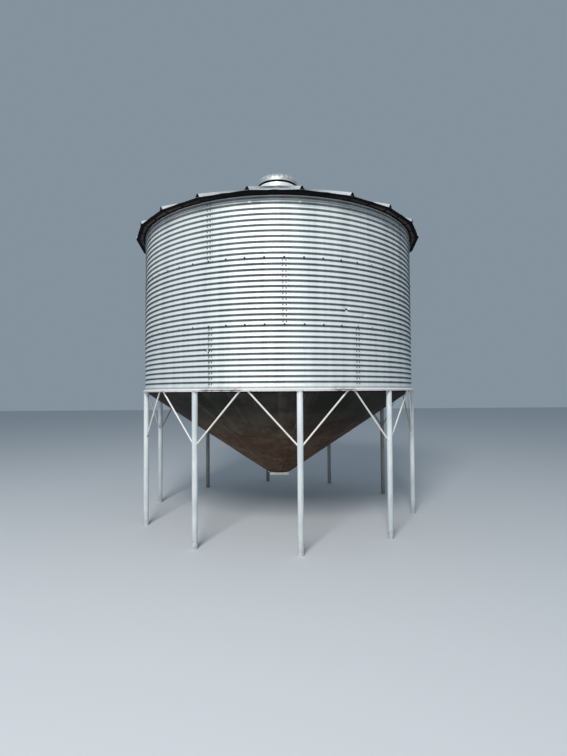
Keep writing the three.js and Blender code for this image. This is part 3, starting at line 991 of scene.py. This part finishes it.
# Near black at the top: partly the steel's old paint and partly painted shade from the wall above.
hopper_finish = Finish("hopper_steel", (26, 26, 25), Specular_IOR_Level=0.15)
patches = hopper_finish.noise(1.6, 5, 0.65, along=(1, 1, 1.6))
mottle = hopper_finish.noise(11, 5, 0.65)
smears = hopper_finish.noise(8, 4, 0.6, along=(1, 1, 0.25))
down_slope = {"W": hopper_finish.bearing * 0.14, "Scale": 1, "Detail": 5, "Roughness": 0.65}
slope_runs = hopper_finish.node("TexNoise", {"noise_dimensions": "1D"}, down_slope)
slope_runs = slope_runs.between(0.48, 0.66) * patches.between(0.36, 0.56)
lower_part = hopper_finish.z.between(hopper_height(1.95), hopper_height(0.80))
hopper_finish.tint(mottle, (50, 48, 45))
hopper_finish.tint(patches.between(0.45, 0.70) * 0.6, (74, 70, 63))
hopper_finish.tint(slope_runs * 0.6, (84, 80, 72))
brown = hopper_finish.mixed(patches.between(0.40, 0.60), (100, 70, 55), (120, 102, 82))
brown = hopper_finish.mixed(mottle.between(0.4, 0.7) * 0.6, brown, (64, 50, 40))
hopper_finish.tint(lower_part * (0.6 + 0.4 * smears), brown)
gore_number = ((hopper_finish.bearing - FIRST_GORE) / (360 / HOPPER_GORES)).math("FLOOR")
gore_tone = hopper_finish.node("TexWhiteNoise", {"noise_dimensions": "1D"}, {"W": gore_number})
hopper_finish.tint(gore_tone * 0.45, (18, 16, 15))
# Painted shade on the right of the top.
right_side_shade = hopper_finish.bearing.between(2, 35) * (1 - lower_part) * 0.4
hopper_finish.tint(right_side_shade, (14, 13, 13))
# The rim under the ring is painted near black as its shade.
shade_under_ring = hopper_finish.z.between(HOPPER_SHOULDER + 0.004, RING_BOTTOM - 0.006)
hopper_finish.tint(shade_under_ring * 0.9, (10, 10, 10))
hopper_finish.surface(0.68 + 0.2 * mottle, hopper_finish.noise(60, 4), 0.001)

slope_points = 9
radii = [HOPPER_MOUTH_RADIUS + i * (HOPPER_TOP_RADIUS - HOPPER_MOUTH_RADIUS) / slope_points
         for i in range(slope_points + 1)]
slope_line = [(r, hopper_height(r)) for r in radii] + [(HOPPER_TOP_RADIUS, HOPPER_TOP)]
hopper = ring("hopper_shell", slope_line, HOPPER_STEPS, closed=False)
faced(hopper, from_axis)
thickened(hopper, HOPPER_PLATE)
fitted(smooth(hopper), "silo", "hopper_steel", hopper_finish, "hopper_cone")
counted(hopper)

# %% Lay the hopper's weld beads
BEAD_RADIUS = 0.0045
BEAD_MARGIN = 0.01
low_end, high_end = (at(radius, 0, hopper_height(radius)) for radius in
                     (HOPPER_MOUTH_RADIUS + BEAD_MARGIN, HOPPER_TOP_RADIUS - BEAD_MARGIN))
slope_run = high_end - low_end
slope_lie = slope_run.to_track_quat("Z", "Y").to_euler()
rod = primitive("cylinder", "rod", (low_end + high_end) / 2, slope_lie, vertices=8, radius=BEAD_RADIUS,
                depth=slope_run.length)
settle(rod)
with editing(rod):
    pick(rod, "edges", lambda place: abs(place.z - (low_end.z + high_end.z) / 2) < 0.05)
    bpy.ops.mesh.subdivide(number_cuts=60)
gores = [turn(FIRST_GORE + i * 360 / HOPPER_GORES) for i in range(HOPPER_GORES)]
seams = strewn("hopper_slope_welds", rod, gores)
removed(rod)
girth = primitive("torus", "girth", (0, 0, hopper_height(GIRTH_RADIUS)), major_radius=GIRTH_RADIUS,
                  minor_radius=BEAD_RADIUS, major_segments=HOPPER_STEPS, minor_segments=8)
settle(girth)
weld_finish = Finish("hopper_weld", (54, 50, 44), Specular_IOR_Level=0.2)
weld_grain = weld_finish.noise(40, 4, 0.6)
weld_shows = weld_finish.noise(2.2, 3).between(0.45, 0.68)
weld_finish.tint(weld_shows, (118, 108, 96))
weld_finish.surface(0.6 + 0.2 * weld_grain, weld_grain, 0.001)
hopper_welds = smooth(joined("hopper_welds", [seams, girth]))
fitted(hopper_welds, "silo", "hopper_steel", weld_finish)
counted(hopper_welds)

# %% [markdown]
# ## Discharge frame and slide gate
#
# Under the hopper's mouth is a round flange and a square frame of two flat rings with bars between
# them. The gap between the rings is the gate's slot, open at the back. The plate slides in it and
# has a bent-down pull with a hand hole.

# %% Build the discharge frame
FRAME_HALF = 0.154
FRAME_OPENING = 0.130
SLOT_HALF = 0.142
FLANGE_RADIUS = 0.196
FLANGE_THICKNESS = 0.008
FLANGE_BAND = 0.022
FRAME_PLATE = 0.012
SLOT_GAP = 0.012
FRAME_LOW, FRAME_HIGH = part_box("discharge_frame")[0].z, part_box("discharge_frame")[1].z
SLOT_LOW = FRAME_LOW + FRAME_PLATE
SLOT_HIGH = SLOT_LOW + SLOT_GAP

frame_finish = Finish("gate_frame_paint", (252, 250, 242))
frame_clouds = frame_finish.noise(18, 4, 0.6)
frame_rust = frame_finish.noise(55, 4, 0.7).between(0.60, 0.75)
frame_finish.tint(frame_clouds, (240, 236, 224))
frame_finish.tint(frame_rust * 0.5, (150, 126, 104))
frame_finish.surface(0.5 + 0.3 * frame_rust, frame_finish.noise(160, 3), 0.0005)


def square_ring(name, low, high):
    """A flat square ring with the frame's opening, between two heights."""
    piece = primitive("plane", name, (0, 0, low), size=2 * FRAME_HALF)
    with editing(piece):
        hollow_out(FRAME_HALF - FRAME_OPENING)
    settle(piece)
    thickened(piece, high - low, 1)
    return eased(piece, 0.0015)


flange = primitive("circle", "flange", (0, 0, FRAME_HIGH - FLANGE_THICKNESS), vertices=64,
                   radius=FLANGE_RADIUS, fill_type="NGON")
with editing(flange):
    hollow_out(FLANGE_BAND)
settle(flange)
thickened(flange, FLANGE_THICKNESS, 1)
eased(flange, 0.001)
upper_ring = square_ring("upper_ring", SLOT_HIGH, FRAME_HIGH - FLANGE_THICKNESS)
lower_ring = square_ring("lower_ring", FRAME_LOW, SLOT_LOW)
bars = [
    block("bar", (-FRAME_HALF, -FRAME_HALF, SLOT_LOW), (FRAME_HALF, -SLOT_HALF, SLOT_HIGH)),
    block("bar", (-FRAME_HALF, -SLOT_HALF, SLOT_LOW), (-SLOT_HALF, FRAME_HALF, SLOT_HIGH)),
    block("bar", (SLOT_HALF, -SLOT_HALF, SLOT_LOW), (FRAME_HALF, FRAME_HALF, SLOT_HIGH)),
]
outlet = smooth(joined("discharge_outlet_frame", [flange, upper_ring, lower_ring] + bars))
fitted(outlet, "silo", "gate_frame", frame_finish, "discharge_frame")
counted(outlet)

# %% Bolt the frame and make the gate
FRAME_BOLT_ROW = 0.142
FRAME_BOLT_PLACES = (-0.12, -0.04, 0.04, 0.12)
head_down = Matrix.Rotation(math.pi, 4, "X")
front_row = [Matrix.Translation((across, -FRAME_BOLT_ROW, FRAME_LOW)) for across in FRAME_BOLT_PLACES]
frame_bolts = [turn(side) @ place @ head_down for side in (0, 90, 180, 270) for place in front_row]
frame_heads = strewn("discharge_bolts", head_pattern, frame_bolts)
fitted(frame_heads, "silo", "gate_frame", bolt_finish)

GATE_HALF = 0.136
GATE_TAIL = 0.186
GATE_THICKNESS = 0.0065
GATE_LOW = SLOT_LOW + 0.0003
GATE_HIGH = GATE_LOW + GATE_THICKNESS
PULL_HALF = 0.080
PULL_DROP = 0.044
PULL_BAND = 0.012

gate_finish = Finish("gate_plate_steel", (150, 150, 146), Metallic=0.7)
scuffs = gate_finish.noise(30, 4, 0.6, along=(1, 0.08, 1))
gate_rust = gate_finish.noise(20, 4, 0.65).between(0.55, 0.75)
gate_finish.tint(scuffs, (112, 112, 110))
gate_finish.tint(gate_rust * 0.7, (116, 82, 60))
gate_finish.surface(0.35 + 0.3 * scuffs + 0.2 * gate_rust, scuffs, 0.0003)

plate = block("plate", (-GATE_HALF, -GATE_HALF, GATE_LOW), (GATE_HALF, GATE_TAIL, GATE_HIGH))
pull_place = (0, GATE_TAIL, GATE_LOW - PULL_DROP / 2 + 0.003)
pull = primitive("plane", "pull", pull_place, (math.pi / 2, 0, 0), size=1)
with editing(pull):
    pick_all()
    bpy.ops.transform.resize(value=(2 * PULL_HALF, 1, PULL_DROP))
    hollow_out(PULL_BAND)
settle(pull)
faced(pull, lambda place: Vector((0, 1, 0)))
thickened(pull, GATE_THICKNESS)
eased(pull, 0.0012)
gate = smooth(joined("slide_gate_plate", [plate, pull]))
fitted(gate, "slide_gate", "gate_plate", gate_finish, "slide_gate")
counted(gate)

# %% [markdown]
# ## Roof panels
#
# The roof has twenty-two flat panels, so its eave is a polygon with a corner at each rib. One panel
# is a line from eave to peak, spun by a single step and so quite flat, and its middle is creased a
# little to stiffen it. Rain and dust have left it dull towards the peak.

# %% Model a roof panel and copy it
PANELS = 22
PANEL_ANGLE = 360 / PANELS
FIRST_RIB = -8.5
EAVE_RADIUS = 2.288
EAVE_TOP = WALL_BOTTOM + 2.406
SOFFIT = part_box("roof")[0].z
PEAK_RADIUS = 0.356
PEAK_TOP = WALL_BOTTOM + 3.357
ROOF_SLOPE = (PEAK_TOP - EAVE_TOP) / (EAVE_RADIUS - PEAK_RADIUS)
ROOF_THICKNESS = 0.0015
CREASE_HEIGHT = 0.006


def roof_height(radius):
    """The height of the roof at a radius on a corner line."""
    return EAVE_TOP + (EAVE_RADIUS - radius) * ROOF_SLOPE


roof_finish = Finish("galvanised_roof", (196, 200, 203), Metallic=0.2, Specular_IOR_Level=0.25)
panel_number = ((roof_finish.bearing - FIRST_RIB) / PANEL_ANGLE).math("FLOOR")
panel_tone = roof_finish.node("TexWhiteNoise", {"noise_dimensions": "1D"}, {"W": panel_number})
roof_spangle = roof_finish.cells(70)
roof_stain = roof_finish.noise(3, 5, 0.65)
roof_finish.tint(panel_tone * 0.5, (176, 182, 187))
roof_finish.tint(roof_spangle * 0.2, (160, 168, 174))
roof_finish.tint(roof_stain.between(0.5, 0.8) * 0.5, (148, 146, 138))
towards_peak = roof_finish.z.between(EAVE_TOP + 0.15, PEAK_TOP - 0.25) * (0.55 + 0.6 * roof_stain)
roof_finish.tint(towards_peak, (96, 102, 102))
roof_finish.surface(0.40 + 0.15 * roof_spangle + 0.2 * roof_stain, roof_finish.noise(5, 3), 0.0015)

eave_point = at(EAVE_RADIUS, -PANEL_ANGLE / 2, EAVE_TOP)
peak_point = at(PEAK_RADIUS, -PANEL_ANGLE / 2, PEAK_TOP)
panel = spun(drawn("panel", [eave_point, peak_point]), 1, PANEL_ANGLE)
faced(panel, lambda place: UP)
with editing(panel):
    pick_all()
    bpy.ops.mesh.subdivide(number_cuts=7)
    pick(panel, "verts", lambda place: abs(place.x) < 1e-4 and place.z < PEAK_TOP - 0.05)
    move((0, 0, CREASE_HEIGHT))
thickened(panel, ROOF_THICKNESS)
panel_places = [turn(FIRST_RIB + (i + 0.5) * PANEL_ANGLE) for i in range(PANELS)]
roof_panels = smooth(strewn("roof_panels", panel, panel_places), 20)
removed(panel)
fitted(roof_panels, "silo", "galvanised_roof", roof_finish, "roof")
counted(roof_panels)

# %% [markdown]
# ## Roof ribs
#
# A raised rib covers each joint between panels. It is folded sheet, hollow and open at the eave,
# where a black foam block with a wider face closes it; the block's near black is also painted shade
# for the inside of the rib. It gets lower towards the peak. Its section is drawn at the eave and drawn
# up the slope by one extrusion, and the crest is brought down at the far end.

# %% Model a rib and copy it
RIB_BASE = 0.056
RIB_CREST = 0.020
RIB_HEIGHT_EAVE = 0.042
RIB_HEIGHT_PEAK = 0.018
RIB_FLANGE = 0.022
FLANGE_SET_BACK = 0.006
END_PLATE = 0.0015
RIB_INNER = PEAK_RADIUS + 0.006
SHEET_REST = 0.002


def rib_outline(inset, flanges=True):
    """The rib's section at the front's eave, drawn in by an inset, as an open line."""
    wide, narrow, crest = RIB_BASE / 2 - inset, RIB_CREST / 2 - inset, RIB_HEIGHT_EAVE - inset
    flange = [(-wide - RIB_FLANGE, -0.001, FLANGE_SET_BACK)] if flanges else []
    left = flange + [(-wide, SHEET_REST, 0), (-narrow, crest, 0)]
    right = [(-x, z, back) for x, z, back in reversed(left)]
    return [Vector((x, back - EAVE_RADIUS, EAVE_TOP + z + back * ROOF_SLOPE))
            for x, z, back in left + right]


rib_run = Vector((0, EAVE_RADIUS - RIB_INNER, roof_height(RIB_INNER) - EAVE_TOP))
up_slope = rib_run.normalized()
rib = drawn("rib", rib_outline(0))
with editing(rib):
    pick_all()
    move(up_slope * END_PLATE)
    extrude(rib_run - up_slope * END_PLATE)
    crest_at_peak = EAVE_TOP + rib_run.z + RIB_HEIGHT_EAVE
    pick(rib, "verts", lambda place: place.z > crest_at_peak - 0.01)
    move((0, 0, RIB_HEIGHT_PEAK - RIB_HEIGHT_EAVE))
    pick(rib, "edges", lambda place: place.y > -RIB_INNER - 0.01 and abs(place.x) < RIB_BASE / 2)
    bpy.ops.mesh.edge_face_add()
faced(rib, lambda place: UP)
with editing(rib):
    face_outwards()
faced(rib, lambda place: UP)
thickened(rib, ROOF_THICKNESS)
eased(rib, 0.0015)
rib_places = [turn(FIRST_RIB + i * PANEL_ANGLE) for i in range(PANELS)]
roof_ribs = smooth(strewn("roof_ribs", rib, rib_places))
removed(rib)
fitted(roof_ribs, "silo", "galvanised_roof", roof_finish)
counted(roof_ribs)

# %% Close the ribs and screw them down
PLUG_DEPTH = 0.05
PLUG_GAP = 0.0005
PLUG_START = END_PLATE - 0.0003

# Near black foam that also stands as painted shade inside the rib's open end.
foam_and_shade_finish = Finish("closure_foam_and_shade", (5, 5, 5), Specular_IOR_Level=0.1)
foam_grain = foam_and_shade_finish.noise(220, 2)
foam_and_shade_finish.tint(foam_grain, (13, 12, 12))
foam_and_shade_finish.surface(0.9 + 0.05 * foam_grain, foam_grain, 0.001)


def filled(name, outline, start, depth):
    """A closed outline filled and drawn up the slope, from a start, by a depth."""
    piece = drawn(name, outline, closed=True)
    with editing(piece):
        pick_all()
        bpy.ops.mesh.edge_face_add()
        move(up_slope * start)
        extrude(up_slope * depth)
        face_outwards()
    return piece


end_plate = filled("end_plate", rib_outline(0, flanges=False), 0.0001, PLUG_START)
plug = filled("plug", rib_outline(ROOF_THICKNESS + PLUG_GAP, flanges=False), PLUG_START, PLUG_DEPTH)
foam = joined("foam", [end_plate, plug])
closures = strewn("rib_closures", foam, rib_places)
removed(foam)
fitted(closures, "silo", "galvanised_roof", foam_and_shade_finish)

SCREW_ROWS = 7
SCREW_SPACING = 0.30
FIRST_SCREW = EAVE_RADIUS - 0.08
small_head = bolt_head("small_head", radius=0.0048, height=0.004, lift=0.002)
small_washer = washer("small_washer", radius=0.008, height=0.002)
screw = joined("screw", [small_head, small_washer])
screw_places = []
roof_angle = math.atan(ROOF_SLOPE)
on_slope = Matrix.Rotation(roof_angle, 4, "X")
for rib_place in rib_places:
    for row in range(SCREW_ROWS):
        radius = FIRST_SCREW - row * SCREW_SPACING * math.cos(roof_angle)
        for side in (-1, 1):
            across = side * (RIB_BASE / 2 + RIB_FLANGE / 2)
            place = Vector((across, -radius, roof_height(radius) + 0.001))
            screw_places.append(rib_place @ Matrix.Translation(place) @ on_slope)
screws = strewn("roof_screws", screw, screw_places)
removed(screw)
fitted(screws, "silo", "galvanised_roof", bolt_finish)
print(len(rib_places), "closures,", len(screw_places), "screws")

# %% Clip the roof to the wall under each rib
CLIP_HALF = 0.017
CLIP_HEIGHT = 0.024
CLIP_OUT = WALL_RADIUS + 0.003
CLIP_IN = WALL_RADIUS - 0.014
CLIP_TOP = WALL_BOTTOM + 2.336

# The clips are painted near white as a highlight; past the two at the front they are painted duller.
clip_finish = Finish("bright_clip", (254, 255, 255), Metallic=0.2)
clip_wear = clip_finish.noise(60, 3)
clip_finish.tint(clip_wear, (240, 242, 242))
clip_without_highlight = abs(clip_finish.bearing).between(9, 13) * 0.7
clip_finish.tint(clip_without_highlight, (150, 158, 160))
clip_finish.surface(0.4 + 0.2 * clip_wear)
clip = block("clip", (-CLIP_HALF, -CLIP_OUT, CLIP_TOP - CLIP_HEIGHT),
             (CLIP_HALF, -CLIP_IN, CLIP_TOP), 0.0015)
clips = strewn("eave_clips", clip, rib_places)
removed(clip)
fitted(clips, "silo", "galvanised_wall", clip_finish)
counted(clips)

# %% [markdown]
# ## Soffit
#
# Past the wall the underside of the eave is closed by level, many-sided sheet, with a lip that turns
# up over the panels' edges. The sheet is painted near black as its shade, with dirt, lighter and
# browner at the sides, and painted shadow lines run along its outer and inner edges. A black strap,
# dirt and painted shade, crosses it at each rib and at each panel's middle. The sheet is an angle
# section, spun in twenty-two steps so that its corners match the roof's.

# %% Spin the soffit
SOFFIT_INNER = 2.118
SOFFIT_LIFT = 0.002
LIP_SHEET = 0.002
LIP_RADIUS = EAVE_RADIUS - 0.0005
STRAP_HALF = 0.016
STRAP_THICKNESS = 0.003
STRAP_OUT = EAVE_RADIUS - 0.014
STRAP_IN = WALL_RADIUS + 0.004
MID_STRAP_SHIFT = 0.022

# Near black as painted shade, with dirt; lighter and browner at the sides.
soffit_finish = Finish("soffit_shade_and_dirt", (15, 14, 14), Specular_IOR_Level=0.1)
soffit_clouds = soffit_finish.noise(9, 5, 0.65)
flat_place = soffit_finish.stretched((1, 1, 0))
from_middle = soffit_finish.node("VectorMath", {"operation": "LENGTH"}, {0: flat_place}, 1)
across_panel = ((soffit_finish.bearing - FIRST_RIB) / PANEL_ANGLE).math("FRACT") - 0.5
to_edge = from_middle * (across_panel * math.radians(PANEL_ANGLE)).math("COSINE")
edge_distance = EAVE_RADIUS * math.cos(math.radians(PANEL_ANGLE / 2))
# Painted shadow lines along the outer lip and along the wall.
outer_shadow_line = to_edge.between(edge_distance - 0.064, edge_distance - 0.048)
inner_shadow_line = from_middle.between(WALL_RADIUS + 0.044, WALL_RADIUS + 0.020)
at_side = abs(soffit_finish.bearing).between(12, 45)
soffit_finish.tint(soffit_clouds, (26, 24, 24))
soffit_finish.tint(at_side * (0.5 + 0.9 * soffit_clouds), (86, 72, 69))
soffit_finish.tint((outer_shadow_line + inner_shadow_line) * 0.95, (5, 5, 5))
soffit_finish.surface(0.75 + 0.15 * soffit_clouds, soffit_clouds, 0.001)

soffit = ring("soffit_and_lip", [
    (SOFFIT_INNER, SOFFIT + SOFFIT_LIFT), (LIP_RADIUS, SOFFIT + SOFFIT_LIFT),
    (LIP_RADIUS, EAVE_TOP + 0.001),
], PANELS, FIRST_RIB, closed=False)
faced(soffit, lambda place: from_axis(place) - 9 * UP)
thickened(soffit, LIP_SHEET)
fitted(soffit, "silo", "galvanised_roof", soffit_finish)

# The straps' near black is dirt and painted shade.
strap_finish = Finish("black_strap", (4, 4, 4), Specular_IOR_Level=0.1)
strap_wear = strap_finish.noise(30, 3)
strap_finish.tint(strap_wear, (10, 9, 9))
strap_finish.surface(0.6 + 0.2 * strap_wear)
strap = block("strap", (-STRAP_HALF, -STRAP_OUT, SOFFIT), (STRAP_HALF, -STRAP_IN, SOFFIT + STRAP_THICKNESS))
mid_strap = copied(strap, "mid_strap", Matrix.Translation((0, MID_STRAP_SHIFT, 0)))
straps = strewn("straps", strap, rib_places)
mid_straps = strewn("mid_straps", mid_strap, panel_places)
removed(strap, mid_strap)
soffit_straps = joined("soffit_straps", [straps, mid_straps])
fitted(soffit_straps, "silo", "galvanised_roof", strap_finish)
counted(soffit)

# %% [markdown]
# ## Peak, fill collar and lid
#
# The panels end under a round flashing at the peak, which turns up round the collar's foot. The
# flashing is greyer than the collar, and its top edge is dark with sealant and painted shade. The
# collar is bright, with a narrower neck that the lid closes. The lid is a dome of crimped zinc sheet
# with a rim that drops past the neck, and in the gap under the rim the neck and the rim's lower edge
# are painted black as their shade. Collar and flashing are spun sections. The dome is a rounded
# ellipse, spun, and its crimps are made by drawing every fourth seam out a little.

# %% Spin the flashing and the collar
COLLAR_RADIUS = 0.340
NECK_RADIUS = 0.314
COLLAR_SHEET = 0.006
COLLAR_TOP = WALL_BOTTOM + 3.458
NECK_TOP = WALL_BOTTOM + 3.500
ROUND_STEPS = 96
FLASHING_HEIGHT = 0.030
FLASHING_RADIUS = PEAK_RADIUS + 0.05
FLASHING_LIFT = 0.004
FLASHING_SHEET = 0.003

fill_finish = Finish("galvanised_fill", (238, 240, 241), Metallic=0.2)
fill_spangle = fill_finish.cells(90)
fill_streaks = fill_finish.noise(12, 4, 0.6, along=(1, 1, 0.1))
fill_finish.tint(fill_streaks.between(0.35, 0.75), (214, 219, 222))
fill_finish.tint(fill_spangle * 0.25, (188, 196, 202))
# The neck, in the gap under the lid's rim, is painted black as its shade.
shade_under_lid = fill_finish.z.between(COLLAR_TOP - 0.005, COLLAR_TOP - 0.002)
fill_finish.tint(shade_under_lid, (12, 12, 12))
fill_finish.surface(0.36 + 0.16 * fill_spangle + 0.3 * shade_under_lid, fill_finish.noise(18, 2), 0.0006)

# Greyer than the collar, with a dark top edge that is sealant and painted shade.
flashing_finish = Finish("grey_flashing", (150, 158, 150), Metallic=0.1)
flashing_dirt = flashing_finish.noise(22, 4, 0.65)
dull_spots = flashing_dirt.between(0.4, 0.6)
flashing_finish.tint(dull_spots, (84, 90, 86))
flashing_edge = PEAK_TOP + FLASHING_HEIGHT
top_edge_sealant_and_shade = flashing_finish.z.between(flashing_edge - 0.010, flashing_edge - 0.003)
flashing_finish.tint(top_edge_sealant_and_shade * 0.7, (40, 40, 42))
flashing_finish.surface(0.6 + 0.25 * flashing_dirt, flashing_dirt, 0.001)

turn_up = COLLAR_RADIUS + 0.001 + FLASHING_SHEET
flashing = ring("peak_flashing", [
    (FLASHING_RADIUS, roof_height(FLASHING_RADIUS) + FLASHING_LIFT),
    (PEAK_RADIUS, PEAK_TOP + FLASHING_LIFT), (turn_up, PEAK_TOP + 0.010), (turn_up, flashing_edge),
], ROUND_STEPS, closed=False)
faced(flashing, lambda place: from_axis(place) + UP)
thickened(flashing, FLASHING_SHEET)
fitted(smooth(flashing), "silo", "galvanised_roof", flashing_finish)

collar = ring("fill_collar_and_neck", [
    (COLLAR_RADIUS - COLLAR_SHEET, PEAK_TOP), (COLLAR_RADIUS, PEAK_TOP), (COLLAR_RADIUS, COLLAR_TOP),
    (NECK_RADIUS, COLLAR_TOP), (NECK_RADIUS, NECK_TOP), (NECK_RADIUS - COLLAR_SHEET, NECK_TOP),
    (NECK_RADIUS - COLLAR_SHEET, COLLAR_TOP - COLLAR_SHEET),
    (COLLAR_RADIUS - COLLAR_SHEET, COLLAR_TOP - COLLAR_SHEET),
], ROUND_STEPS)
eased(collar, 0.002, 3, 40)
fitted(smooth(collar), "silo", "galvanised_fill", fill_finish, "fill_collar")
counted(collar)

# %% Spin the lid and crimp it
LID_RADIUS = 0.346
LID_SKIRT_BOTTOM = WALL_BOTTOM + 3.482
LID_SKIRT_TOP = WALL_BOTTOM + 3.505
LID_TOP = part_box("fill_lid")[1].z
LID_SHEET = 0.003
HEM_RADIUS = 0.003
CAP_HEIGHT = 0.006
CRIMPS = 24
CRIMP_GROWTH = 1.030
SHOULDER = 0.85
CAP_RADIUS = 0.06
CAP_SEAT = 0.004

lid_finish = Finish("crimped_zinc", (196, 199, 200), Metallic=0.6)
lid_spangle = lid_finish.cells(90)
lid_stain = lid_finish.noise(9, 4, 0.6)
lid_finish.tint(lid_spangle * 0.3, (168, 172, 174))
lid_finish.tint(lid_stain.between(0.5, 0.8) * 0.5, (142, 142, 142))
# The rim's lower edge is painted black as its shade.
shade_under_rim = lid_finish.z.between(LID_SKIRT_BOTTOM + 0.009, LID_SKIRT_BOTTOM + 0.004)
lid_finish.tint(shade_under_rim, (14, 13, 13))
lid_finish.surface(0.42 + 0.12 * lid_spangle + 0.1 * lid_stain, lid_finish.noise(18, 2), 0.0006)

rim_radius = LID_RADIUS - HEM_RADIUS
dome_height = LID_TOP - CAP_HEIGHT - LID_SKIRT_TOP
dome_points = 14
dome = [(rim_radius, LID_SKIRT_BOTTOM + HEM_RADIUS)]
for i in range(dome_points):
    angle = i / dome_points * math.pi / 2
    out, up = math.cos(angle) ** SHOULDER, math.sin(angle) ** SHOULDER
    dome.append((rim_radius * out, LID_SKIRT_TOP + dome_height * up))
dome.append((0, LID_TOP - CAP_HEIGHT))
lid = ring("lid_dome", dome, ROUND_STEPS, closed=False)
faced(lid, lambda place: place - Vector((0, 0, LID_SKIRT_BOTTOM)))


def on_crimp(place):
    """True on the bearings of the crimps, between the rim and the cap."""
    step = (bearing_of(place) / 360 * CRIMPS) % 1
    low, high = LID_SKIRT_TOP + 0.03, LID_TOP - 0.015
    return low < place.z < high and min(step, 1 - step) < 0.05


with editing(lid):
    pick(lid, "verts", on_crimp)
    bpy.ops.transform.resize(value=(CRIMP_GROWTH,) * 3, center_override=(0, 0, LID_SKIRT_BOTTOM))
thickened(lid, LID_SHEET)
hem = primitive("torus", "hem", (0, 0, LID_SKIRT_BOTTOM + HEM_RADIUS), major_radius=rim_radius,
                minor_radius=HEM_RADIUS, major_segments=ROUND_STEPS, minor_segments=8)
settle(hem)
cap = primitive("cylinder", "cap", (0, 0, LID_TOP - CAP_HEIGHT / 2 - CAP_SEAT / 2), vertices=48,
                radius=CAP_RADIUS, depth=CAP_HEIGHT + CAP_SEAT)
settle(cap)
eased(cap, 0.003, 3)
lid = smooth(joined("crimped_lid", [lid, hem, cap]), 25)
fitted(lid, "fill_lid", "galvanised_fill", lid_finish, "fill_lid")
counted(lid)

# %% [markdown]
# ## Lid hinge
#
# The lid turns on a pin at the back of the collar. Two lugs on the collar hold the pin, and a
# barrel on the lid's arm turns round it. The barrel is a tube, so that the pin has its hole. All of
# them have the bolts' dull zinc.

# %% Make the hinge
PIN_PLACE = Vector((0, 0.362, WALL_BOTTOM + 3.494))
PIN_RADIUS = 0.005
PIN_CLEARANCE = 0.0006
BARREL_RADIUS = 0.012
BARREL_HALF = 0.040
LUG_IN = 0.045
LUG_OUT = 0.055
LUG_ROOT = COLLAR_RADIUS - 0.006
LUG_EDGE = PIN_PLACE.y + 0.014
LUG_STEP = PIN_PLACE.y - 0.009
ARM_HALF = 0.004
ALONG_X = (0, math.pi / 2, 0)

barrel = primitive("cylinder", "barrel", PIN_PLACE, ALONG_X, vertices=32, radius=BARREL_RADIUS,
                   depth=2 * BARREL_HALF, end_fill_type="NOTHING")
settle(barrel)
thickened(barrel, BARREL_RADIUS - PIN_RADIUS - PIN_CLEARANCE)
eased(barrel, 0.001)
arm = block("arm", (-BARREL_HALF, LID_RADIUS - 0.006, PIN_PLACE.z - ARM_HALF),
            (BARREL_HALF, PIN_PLACE.y - BARREL_RADIUS + 0.003, PIN_PLACE.z + ARM_HALF))
lid_hinge = smooth(joined("lid_hinge_barrel", [barrel, arm]))
fitted(lid_hinge, "fill_lid", "galvanised_fill", bolt_finish)

lug_low, lug_middle, lug_high = COLLAR_TOP - 0.018, COLLAR_TOP + 0.012, PIN_PLACE.z + 0.009
lug_outline = [(LUG_ROOT, lug_low), (LUG_EDGE, lug_low), (LUG_EDGE, lug_high), (LUG_STEP, lug_high),
               (LUG_STEP, lug_middle), (LUG_ROOT, lug_middle)]
lug = drawn("lug", [Vector((LUG_IN, y, z)) for y, z in lug_outline], closed=True)
with editing(lug):
    pick_all()
    bpy.ops.mesh.edge_face_add()
    extrude((LUG_OUT - LUG_IN, 0, 0))
    face_outwards()
eased(lug, 0.002)
other_lug = copied(lug, "other_lug", Matrix.Translation((-LUG_IN - LUG_OUT, 0, 0)))
pin = primitive("cylinder", "pin", PIN_PLACE, ALONG_X, vertices=24, radius=PIN_RADIUS,
                depth=2 * LUG_OUT + 0.012)
settle(pin)
eased(pin, 0.0015)
lugs = smooth(joined("collar_hinge_lugs", [lug, other_lug, pin]))
fitted(lugs, "silo", "galvanised_fill", bolt_finish)
removed(head_pattern, washer_pattern)
print("hinge done")

# %% [markdown]
# ## Floor and light
#
# The floor and background are plain and pale. A large soft lamp high at the front left stands for
# the bright sky behind the photographer. A weak one farther off and lower reaches under the silo.

# %% Floor, lamps and background
floor = primitive("plane", "floor", (0, 0, 0), size=80)
settle(floor)
floor_finish = Finish("floor", (208, 211, 214), Roughness=0.8)
floor.data.materials.append(floor_finish.material)


def lamp(name, place, target, size, watts, colour):
    """A square soft lamp that faces a target."""
    data = bpy.data.lights.new(name, "AREA")
    data.size = size
    data.energy = watts
    data.color = colour
    light = bpy.data.objects.new(name, data)
    bpy.context.scene.collection.objects.link(light)
    light.location = place
    light.rotation_euler = (Vector(target) - Vector(place)).to_track_quat("-Z", "Y").to_euler()


lamp("key", (-2.6, -13.0, 12.0), (0, -1.5, 3), size=5, watts=2080, colour=(1, 0.99, 0.98))
lamp("fill", (-5, -16, 3), (0, 0, 0.7), size=5, watts=130, colour=(1, 0.98, 0.95))
world = bpy.data.worlds.new("pale_sky")
world.use_nodes = True
world.node_tree.nodes["Background"].inputs["Color"].default_value = paint(196, 216, 232)
world.node_tree.nodes["Background"].inputs["Strength"].default_value = 0.42
bpy.context.scene.world = world
bpy.context.scene.view_settings.view_transform = "Standard"
print("lit")
